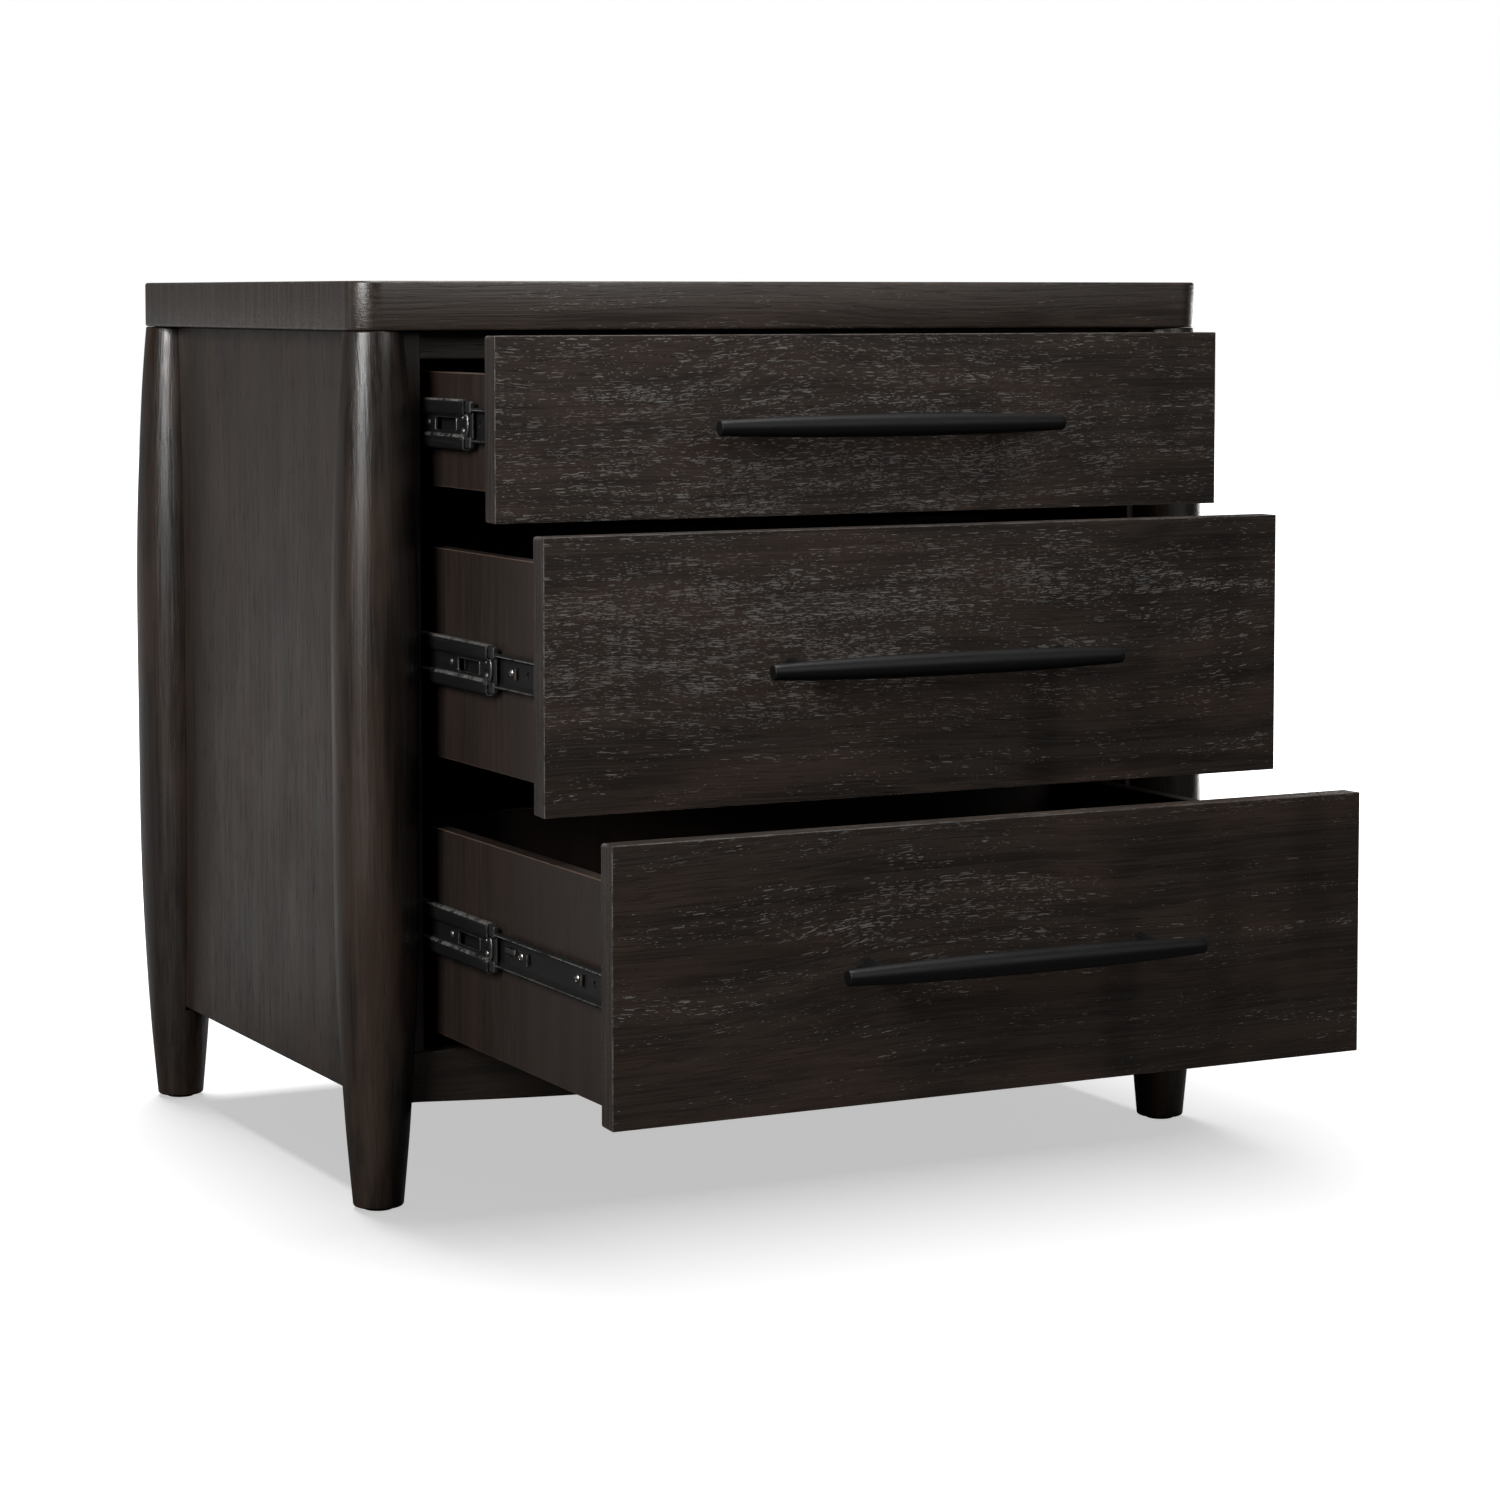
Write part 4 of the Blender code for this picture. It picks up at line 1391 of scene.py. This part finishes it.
    def ball_cage(self) -> bpy.types.Object:
        """The black cage ends that show ahead of the carriage, its bumper, and the balls they hold."""
        outer, inner = self.across(self.carriage)
        tall = (self.carriage[1][2] - self.carriage[0][2]) / 2
        front = self.carriage[0][1]
        shape = Shape()
        cage_ends = (front - 0.0088, front + 0.050)
        for up in (1, -1):
            faces = (up * (tall - 0.0105), up * (tall - 0.0014))
            self.add_block(shape, (inner + 0.0012, outer - 0.0020), cage_ends, faces, 0.0016, 0.0008)
        bumper_ends, bumper_faces = (front - 0.0084, front + 0.020), (0.006 - tall, tall - 0.006)
        self.add_block(shape, (inner + 0.0020, inner + 0.0034), bumper_ends, bumper_faces, 0.0006, 0.0002)
        piece = shape.piece(f"{self.drawer}_{self.side}_ball_cage", self.finishes.cage)
        fitted(piece, f"{self.drawer}_carriages", "slide_steel")
        metal = Shape()
        self.add_bumper_lip(metal, outer, front)
        self.add_balls(metal, inner, tall, front)
        bright = metal.piece(f"{self.drawer}_{self.side}_carriage_lip", self.finishes.cut_steel)
        return fitted(bright, f"{self.drawer}_carriages", "slide_steel")

    def add_bumper_lip(self, shape: Shape, outer: float, front: float) -> None:
        """A curled lip ahead of the web, a loop round the window, two rivets, a dimple and a folded ear
        beside it.

        Args:
            shape: the shape that takes them.
            outer: the carriage's outboard face, from the middle plane.
            front: the carriage's front end.
        """
        turn = np.linspace(-1.15, 1.15, 15)
        ring = np.linspace(0, 2 * math.pi, 10, endpoint=False)
        arm, wire = 0.0090, 0.0009
        centre = np.stack([np.full_like(turn, outer - 0.0032), front - 0.0040 * np.cos(turn) + 0.0008,
                           self.height + arm * np.sin(turn)], 1)
        spread = np.stack([np.cos(ring) * wire, np.sin(ring) * wire, np.zeros_like(ring)], 1)
        rings = centre[:, None, :] + spread[None, :, :]
        rings[..., 0] *= self.sign
        shape.rings(rings, wear=1.0)
        outline = self.window.outline()
        aside = outline - outline.mean(0)
        aside /= np.linalg.norm(aside, axis=1, keepdims=True)
        swell = 0.00055 * np.stack([np.cos(ring), np.sin(ring)], 1)
        loop = np.empty((len(outline) + 1, len(ring), 3))
        turned = np.concatenate([np.arange(len(outline)), [0]])
        loop[..., 0] = self.sign * (outer - self.web_set_in + 0.0003 + swell[None, :, 0])
        loop[..., 1] = front + outline[turned, 0, None] + aside[turned, 0, None] * swell[None, :, 1]
        loop[..., 2] = self.height + outline[turned, 1, None] + aside[turned, 1, None] * swell[None, :, 1]
        shape.rings(loop, capped=False, wear=0.6)
        rivet = ScrewHead(0.0026, 0.0014, 0.0)
        out = (self.sign, 0, 0)
        web = self.sign * (outer - self.web_set_in + 0.0001)
        rivet.add_to(shape, (web, front + 0.0055, self.height - 0.0046), out, 0.0)
        rivet.add_to(shape, (web, front + 0.0720, self.height + 0.0005), out, 0.0)
        dimple = ScrewHead(0.0014, 0.0010, 0.0)
        dimple.add_to(shape, (web, front + 0.0062, self.height + 0.0052), out, 0.0)
        ear_ends, ear_faces = (front - 0.0012, front + 0.0052), (-0.0112, -0.0086)
        self.add_block(shape, (outer - 0.0034, outer + 0.0001), ear_ends, ear_faces, 0.0006, 0.0002)

    def add_balls(self, shape: Shape, inner: float, tall: float, front: float) -> None:
        """Rows of balls along the front of both raceways.

        Args:
            shape: the shape that takes them.
            inner: the carriage's inboard face, from the middle plane.
            tall: half the carriage's height.
            front: the carriage's front end.
        """
        polar = np.linspace(0.02, math.pi - 0.02, 5)[:, None]
        turn = np.linspace(0, 2 * math.pi, 8, endpoint=False)[None, :]
        unit = np.stack([np.sin(polar) * np.cos(turn), np.sin(polar) * np.sin(turn),
                         np.cos(polar) + 0 * turn], 2)[::-1]
        for up in (1, -1):
            for number in range(self.balls):
                seat = (self.sign * (inner + self.ball_radius), front + 0.004 + self.ball_pitch * number,
                        self.height + up * (tall - 0.0040))
                shape.rings(unit * self.ball_radius + np.array(seat))

    def drawer_channel(self) -> bpy.types.Object:
        """The channel screwed to the drawer, its raceways curled outwards, with its slots and holes."""
        outer, inner = self.across(self.channel)
        tall = (self.channel[1][2] - self.channel[0][2]) / 2 - self.steel / 2
        web = inner + self.steel / 2
        aside, down = self.channel_shoulder
        half = ((outer, tall - self.channel_lip), (outer - self.channel_lean, tall),
                (web + aside, tall), (web, tall - down))
        section = Section(half + tuple((x, -z) for x, z in half[::-1]), self.channel_bend)
        length = self.channel[1][1] - self.channel[0][1]
        punches = [replace(hole, along=hole.along + self.hole_pitch * number)
                   for number in range(3) for hole in self.repeated_holes]
        strip = FoldedStrip(section, length, self.wall, self.spaced([*punches, *self.single_holes]))
        return self.pressed(strip, "drawer_channel", self.channel, f"{self.drawer}_drawer")

    @staticmethod
    def spaced(punches: list[Punch]) -> list[Punch]:
        """Puts punches in order along the blank, without any that would run into the one before.

        Args:
            punches: the punches wanted.

        Returns:
            The punches kept.
        """
        kept: list[Punch] = []
        for punch in sorted(punches, key=lambda p: p.along):
            gap = punch.along - kept[-1].along - (punch.length + kept[-1].length) / 2 if kept else 1.0
            if gap > 0.001:
                kept.append(punch)
        return kept

    def fasteners(self) -> bpy.types.Object:
        """Screw heads, a sprung tab and curled hooks on the drawer channel."""
        inner = self.across(self.channel)[1]
        seat, front = self.sign * (inner + self.steel), self.channel[0][1]
        out = (self.sign, 0, 0)
        shape = Shape()
        for number, along in enumerate(self.screws):
            ScrewHead().add_to(shape, (seat, front + along, self.height), out, 0.4 + 0.7 * number)
        for along, lift in self.tongues:
            self.add_curl(shape, seat, front + along, lift)
        web = inner + self.steel
        tab_ends, tab_faces = (front + 0.1600, front + 0.1780), (-0.0004, 0.0040)
        self.add_block(shape, (web, web + 0.0022), tab_ends, tab_faces, 0.0008, 0.0003)
        piece = shape.piece(f"{self.drawer}_{self.side}_channel_fittings", self.finishes.bare_steel)
        return fitted(piece, f"{self.drawer}_drawer", "slide_steel")

    def add_curl(self, shape: Shape, seat: float, y: float, lift: float) -> None:
        """A small tongue that stands out of a slot and curls over.

        Args:
            shape: the shape that takes it.
            seat: X of the web's outboard face.
            y: the tongue's place along the slide.
            lift: its place above the slide's middle line.
        """
        turn = np.linspace(0, 1.9, 9)
        reach, wide, wall = 0.0016, 0.0042, 0.0007
        ring = np.array([(-1, -1), (1, -1), (1, 1), (-1, 1)])
        rings = []
        for angle in turn:
            radius = reach + ring[:, 0] * wall / 2
            x = seat + self.sign * (radius * np.sin(angle) + 0.0001)
            rings.append(np.stack([x, y - reach + radius * np.cos(angle),
                                   self.height + lift + ring[:, 1] * wide], 1))
        shape.rings(np.array(rings), wear=0.8)


# ---- drawers ------------------------------------------------------------------------------------
@dataclass
class Drawer:
    """A drawer: front, box, bar pull and the screws that hold the pull."""

    finishes: Finishes
    name: str
    front_round: float = 0.0007
    back_round: float = 0.0024
    box_round: float = 0.0007
    pull_end_radius: float = 0.0058
    pull_middle_radius: float = 0.0088
    post_radius: float = 0.0058
    post_foot_radius: float = 0.0068
    post_foot: float = 0.009
    post_inset: float = 0.034
    pull_chamfer: float = 0.0009
    pull_turns: int = 48
    pull_rings: int = 59
    swell_fullness: float = 0.25
    groove_gap: float = 0.0003

    def build(self) -> list[bpy.types.Object]:
        """Makes the drawer's pieces.

        Returns:
            The pieces.
        """
        return [self.front(), *self.box(), self.pull(), self.pull_screws()]

    def front(self) -> bpy.types.Object:
        """The drawer front, sharper at its face than at its back."""
        node = f"{self.name}_drawer_front"
        shape = Shape().add(*rounded_box(*box_of(node), self.front_round, self.back_round))
        piece = shape.piece(f"{node}_board", self.finishes.fronts[self.name])
        return fitted(piece, f"{self.name}_drawer", "front_wood", node)

    def box(self) -> list[bpy.types.Object]:
        """The box's boards, with pale worn edges, and its bottom sheet."""
        made = []
        for part in ("box_front", "left_side", "right_side", "back", "bottom"):
            node = f"{self.name}_drawer_{part}"
            low, high = box_of(node)
            if part.endswith("side"):
                made.append(self.grooved_side(node, low, high))
                continue
            shape = Shape().add(*rounded_box(low, high, self.box_round, self.box_round, 0.0005))
            piece = shape.piece(f"{node}_board", self.finishes.box)
            made.append(fitted(piece, f"{self.name}_drawer", "box_wood", node))
        return made

    def grooved_side(self, node: str, low: np.ndarray, high: np.ndarray) -> bpy.types.Object:
        """A box side in two strips, above and below the groove that holds the bottom sheet.

        Args:
            node: the CAD node.
            low: its lowest corner.
            high: its highest corner.

        Returns:
            The piece.
        """
        sheet_low, sheet_high = box_of(f"{self.name}_drawer_bottom")
        outboard = low[0] if abs(low[0]) > abs(high[0]) else high[0]
        groove = sheet_low[0] if outboard < 0 else sheet_high[0]
        shape = Shape()
        shape.add(*rounded_box(low, high, self.box_round, self.box_round, 0.0005))
        cutter_low = np.array([min(groove, -groove), low[1] - 0.01, sheet_low[2] - self.groove_gap])
        cutter_high = np.array([max(groove, -groove), high[1] + 0.01, sheet_high[2] + self.groove_gap])
        piece = shape.piece(f"{node}_board", self.finishes.box)
        cutter = Shape().add(*rounded_box(cutter_low, cutter_high, 0.0001, 0.0001, 0.0001)).piece(
            f"{node}_groove", self.finishes.box
        )
        step = piece.modifiers.new("groove", "BOOLEAN")
        step.operation, step.object = "DIFFERENCE", cutter
        applied(piece)
        bpy.data.objects.remove(cutter)
        return fitted(piece, f"{self.name}_drawer", "box_wood", node)

    def bar_radius(self, share: np.ndarray) -> np.ndarray:
        """The bar's radius at a share of its half length, swelling from its ends to its middle."""
        swell = (1 - share**2) * (1 + self.swell_fullness * share**2)
        return self.pull_end_radius + (self.pull_middle_radius - self.pull_end_radius) * swell

    def pull(self) -> bpy.types.Object:
        """The bar pull: a round bar that swells to its middle, on two posts that flare at the front.

        Returns:
            The pull.
        """
        node = f"{self.name}_drawer_handle"
        low, high = box_of(node)
        half, height = (high[0] - low[0]) / 2, (low[2] + high[2]) / 2
        bar_y = low[1] + self.pull_middle_radius
        turn = np.linspace(0, 2 * math.pi, self.pull_turns, endpoint=False)
        chamfer = self.pull_chamfer
        ease = np.linspace(0, math.pi / 2, 5)
        tip = half - chamfer * (1 - np.sin(ease))
        tip_drop = chamfer * (1 - np.cos(ease))
        run = np.linspace(-half + chamfer, half - chamfer, self.pull_rings + 2)[1:-1]
        along = np.concatenate([-tip[::-1], run, tip])
        radius = self.bar_radius(np.clip(along / half, -1, 1)) - np.concatenate(
            [tip_drop[::-1], 0 * run, tip_drop]
        )
        rings = np.stack([
            np.broadcast_to(along[:, None], (len(along), len(turn))),
            bar_y + radius[:, None] * np.cos(turn),
            height + radius[:, None] * np.sin(turn),
        ], 2)
        shape = Shape().rings(rings, wear=np.repeat((np.abs(along) > half - chamfer) * 1.0, len(turn)))
        for side in SIDES.values():
            self.add_post(shape, side * (half - self.post_inset), bar_y, high[1], height, half)
        piece = shape.piece(f"{node}_bar", self.finishes.iron)
        return fitted(piece, f"{self.name}_drawer", "handle_iron", node)

    def add_post(
        self, shape: Shape, x: float, bar_y: float, face_y: float, height: float, half: float
    ) -> None:
        """One post. Its first ring is coped to the bar: y = bar + sqrt(bar radius^2 - z^2).

        Args:
            shape: the shape that takes it.
            x: the post's place along the bar.
            bar_y: the bar's axis.
            face_y: the face of the drawer front.
            height: the bar's height.
            half: half the bar's length.
        """
        turn = np.linspace(0, 2 * math.pi, 36, endpoint=False)
        reach = face_y - bar_y
        flare = np.linspace(0, 1, 9)
        depth = np.concatenate([[0.0], reach - self.post_foot * (1 - flare)])
        radius = self.post_radius + (self.post_foot_radius - self.post_radius) * flare**2.2
        radius = np.concatenate([[self.post_radius], radius])
        px = x + radius[:, None] * np.cos(turn)
        pz = radius[:, None] * np.sin(turn)
        py = np.broadcast_to((bar_y + depth)[:, None], px.shape).copy()
        bar = self.bar_radius(np.abs(px[0]) / half) - 0.0002
        py[0] = bar_y + np.sqrt(np.maximum(bar**2 - pz[0] ** 2, 0))
        shape.rings(np.stack([px, py, height + pz], 2)[::-1])

    def pull_screws(self) -> bpy.types.Object:
        """The screw heads inside the box that hold the pull."""
        box_high = box_of(f"{self.name}_drawer_box_front")[1]
        low, high = box_of(f"{self.name}_drawer_handle")
        half, height = (high[0] - low[0]) / 2, (low[2] + high[2]) / 2
        shape = Shape()
        for side in SIDES.values():
            seat = (side * (half - self.post_inset), box_high[1], height)
            ScrewHead(0.0042, 0.0022, 0.0014).add_to(shape, seat, (0, 1, 0), 0.5 * side)
        piece = shape.piece(f"{self.name}_drawer_pull_screws", self.finishes.bare_steel)
        return fitted(piece, f"{self.name}_drawer", "slide_steel")


# ---- what holds the case together ---------------------------------------------------------------
@dataclass
class CaseHardware:
    """Screws round the back panel, and the glides' own finish."""

    finishes: Finishes
    margin: float = 0.022
    upright_screws: int = 5
    middle_screw: float = 0.11
    turn_step: float = 0.8

    def build(self) -> bpy.types.Object:
        """Screw heads in a row down each side of the back and two along its top and bottom.

        Returns:
            The screws.
        """
        low, high = box_of("back_panel")
        shape, turn = Shape(), 0.0
        ends = (low[2] + self.margin, high[2] - self.margin)
        places = [(x, z) for x in (low[0] + self.margin, high[0] - self.margin)
                  for z in np.linspace(*ends, self.upright_screws)]
        places += [(x, z) for x in (-self.middle_screw, self.middle_screw) for z in ends]
        screw = ScrewHead(radius=0.0036, height=0.0014, recess=0.0011)
        for x, z in places:
            turn += self.turn_step
            screw.add_to(shape, (x, high[1], z), (0, 1, 0), turn)
        piece = shape.piece("back_panel_screws", self.finishes.cut_steel)
        for end in ENDS:
            for side in SIDES:
                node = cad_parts[f"{end}_{side}_glide"]
                node.data.materials.clear()
                node.data.materials.append(self.finishes.plastic)
        return fitted(piece, "case", "slide_steel")


# ---- studio -------------------------------------------------------------------------------------
@dataclass(frozen=True)
class Softbox:
    """A rectangular soft light that the camera doesn't see, placed from the middle of the case in Y."""

    name: str
    place: tuple[float, float, float]
    aim: tuple[float, float, float]
    size: tuple[float, float]
    watts: float

    def build(self, middle_y: float) -> bpy.types.Object:
        """Makes the light.

        Args:
            middle_y: the middle of the case in Y.

        Returns:
            The light.
        """
        x, y, z = self.place
        place = Vector((x, middle_y + y, z))
        aim = Vector((self.aim[0], middle_y + self.aim[1], self.aim[2]))
        data = bpy.data.lights.new(self.name, "AREA")
        data.shape, data.size, data.size_y, data.energy = "RECTANGLE", *self.size, self.watts
        made = bpy.data.objects.new(self.name, data)
        made.location = place
        made.rotation_euler = (aim - place).to_track_quat("-Z", "Y").to_euler()
        made.visible_camera = False
        bpy.context.scene.collection.objects.link(made)
        return made


@dataclass
class Studio:
    """White floor and surround, soft lights and the camera."""

    lens: float = 91.37
    shift_y: float = -0.13
    azimuth: float = 27.222
    pitch: float = 3.882
    stand: tuple[float, float, float] = (-1.4244, -2.9326, 0.6991)
    floor_glow: float = 0.527
    floor_reach: float = 14.0
    piece_lights: tuple[Softbox, ...] = (
        Softbox("left_softbox", (-2.18, -1.32, 1.45), (-0.30, 0.0, 0.66), (0.95, 1.25), 64.0),
        Softbox("front_softbox", (0.88, -2.70, 1.88), (0.0, -0.2, 0.5), (1.5, 1.9), 17.5),
        Softbox("backdrop", (-1.2, 2.4, 0.9), (-1.2, 0.0, 0.9), (5.0, 1.8), 3.5),
        Softbox("right_fill", (2.3, 0.95, 0.34), (0.2, 0.0, 0.40), (1.6, 0.66), 36.0),
        Softbox("overhead", (0.0, -0.25, 2.7), (0.0, -0.25, 0.0), (1.3, 1.3), 50.0),
    )
    ground_light: Softbox = Softbox("floor_light", (0.0, 1.58, 6.0), (0.0, 0.0, 0.0), (2.4, 3.2), 372.0)

    def centre_y(self) -> float:
        """The middle of the case in Y."""
        low, high = box_of("left_side_panel")
        return (low[1] + high[1]) / 2

    def build(self) -> None:
        """Makes the camera, the surround, the floor and the lights."""
        bpy.context.scene.view_settings.view_transform = "Standard"
        self.camera()
        self.surround()
        ground = self.floor()
        for box in self.piece_lights:
            light = box.build(self.centre_y())
            spared = bpy.data.collections.new(f"spared_by_{box.name}")
            spared.objects.link(ground)
            spared.collection_objects[0].light_linking.link_state = "EXCLUDE"
            light.light_linking.receiver_collection = spared
        self.floor_light = self.ground_light.build(self.centre_y())
        lit = bpy.data.collections.new("lit_by_floor_light")
        lit.objects.link(ground)
        self.floor_light.light_linking.receiver_collection = lit

    def soften_shadow(self, through: Sequence[bpy.types.Object]) -> None:
        """Lets the floor's light through the open drawers, so that the case alone throws the shadow.

        Args:
            through: the pieces that the light passes.
        """
        passed = bpy.data.collections.new("passed_by_floor_light")
        for number, piece in enumerate(through):
            passed.objects.link(piece)
            passed.collection_objects[number].light_linking.link_state = "EXCLUDE"
        self.floor_light.light_linking.blocker_collection = passed

    def camera(self) -> None:
        """The camera, level but for a small downward tilt, its picture shifted to frame the piece."""
        data = bpy.data.cameras.new("camera")
        data.sensor_width, data.lens, data.shift_y = 36.0, self.lens, self.shift_y
        data.clip_start, data.clip_end = 0.05, 60.0
        made = bpy.data.objects.new("camera", data)
        made.location = (self.stand[0], self.stand[1] + self.centre_y(), self.stand[2])
        made.rotation_euler = (math.radians(90 - self.pitch), 0.0, -math.radians(self.azimuth))
        bpy.context.scene.collection.objects.link(made)
        bpy.context.scene.camera = made

    def surround(self) -> None:
        """White to the camera and dim to everything else, so that the gloss has something dark in it."""
        world = bpy.data.worlds.new("surround")
        world.use_nodes = True
        net = Net(world.node_tree)
        shade = world.node_tree.nodes["Background"]
        ray = net.node("LightPath").outputs["Is Camera Ray"]
        colour = net.blend(ray, (0.05, 0.05, 0.05, 1), (1.0, 1.0, 1.0, 1))
        world.node_tree.links.new(colour, shade.inputs["Color"])
        bpy.context.scene.world = world

    def floor(self) -> bpy.types.Object:
        """A wide pale floor whose soft shadow never goes darker than the floor's own glow.

        Returns:
            The floor.
        """
        material = bpy.data.materials.new("pale_floor")
        material.use_nodes = True
        tree = material.node_tree
        tree.nodes.clear()
        net = Net(tree)
        ray = net.node("LightPath").outputs["Is Camera Ray"]
        place = net.node("TexCoord").outputs["Object"]
        away = net.node("VectorMath", {0: place}, operation="LENGTH").outputs["Value"]
        strength = net.math("ADD", self.floor_glow, net.between(away, 0.9, 1.5))
        glow = net.node("Emission", {"Color": (1, 1, 1, 1), "Strength": strength})
        lit = net.node("BsdfDiffuse", {"Color": (0.8, 0.8, 0.8, 1)})
        seen = net.node("AddShader", {0: glow.outputs[0], 1: lit.outputs[0]})
        dim = net.node("BsdfDiffuse", {"Color": (0.12, 0.12, 0.12, 1)})
        behind = net.between(net.node("SeparateXYZ", {0: place}).outputs[1], 0.45, 0.95)
        sweep = net.node("Emission", {"Color": (1, 1, 1, 1), "Strength": net.math("MULTIPLY", behind, 0.3)})
        bounced = net.node("AddShader", {0: dim.outputs[0], 1: sweep.outputs[0]})
        mixed = net.node("MixShader", {0: ray, 1: bounced.outputs[0], 2: seen.outputs[0]})
        net.node("OutputMaterial", {"Surface": mixed.outputs[0]})
        reach = self.floor_reach
        corners = np.array([(-reach, -reach, 0), (reach, -reach, 0), (reach, reach, 0), (-reach, reach, 0)])
        ground = Shape().add(corners, [[0, 1, 2, 3]]).piece("floor", material, weld=False)
        return ground


def main() -> None:
    """Builds the studio and then the nightstand, one sub-assembly after another."""
    logging.basicConfig(level=logging.INFO, format="%(name)s: %(message)s")
    studio = Studio()
    studio.build()
    finishes = Finishes()
    TableTop(finishes).build()
    for end in ENDS:
        for side in SIDES:
            TurnedLeg(finishes, end, side).build()
    CaseBoards(finishes).build()
    CaseHardware(finishes).build()
    pieces = []
    for name in DRAWERS:
        pieces += Drawer(finishes, name).build()
        for side in SIDES:
            pieces += Slide(finishes, name, side).build()
    studio.soften_shadow(pieces)


if __name__ == "__main__":
    main()
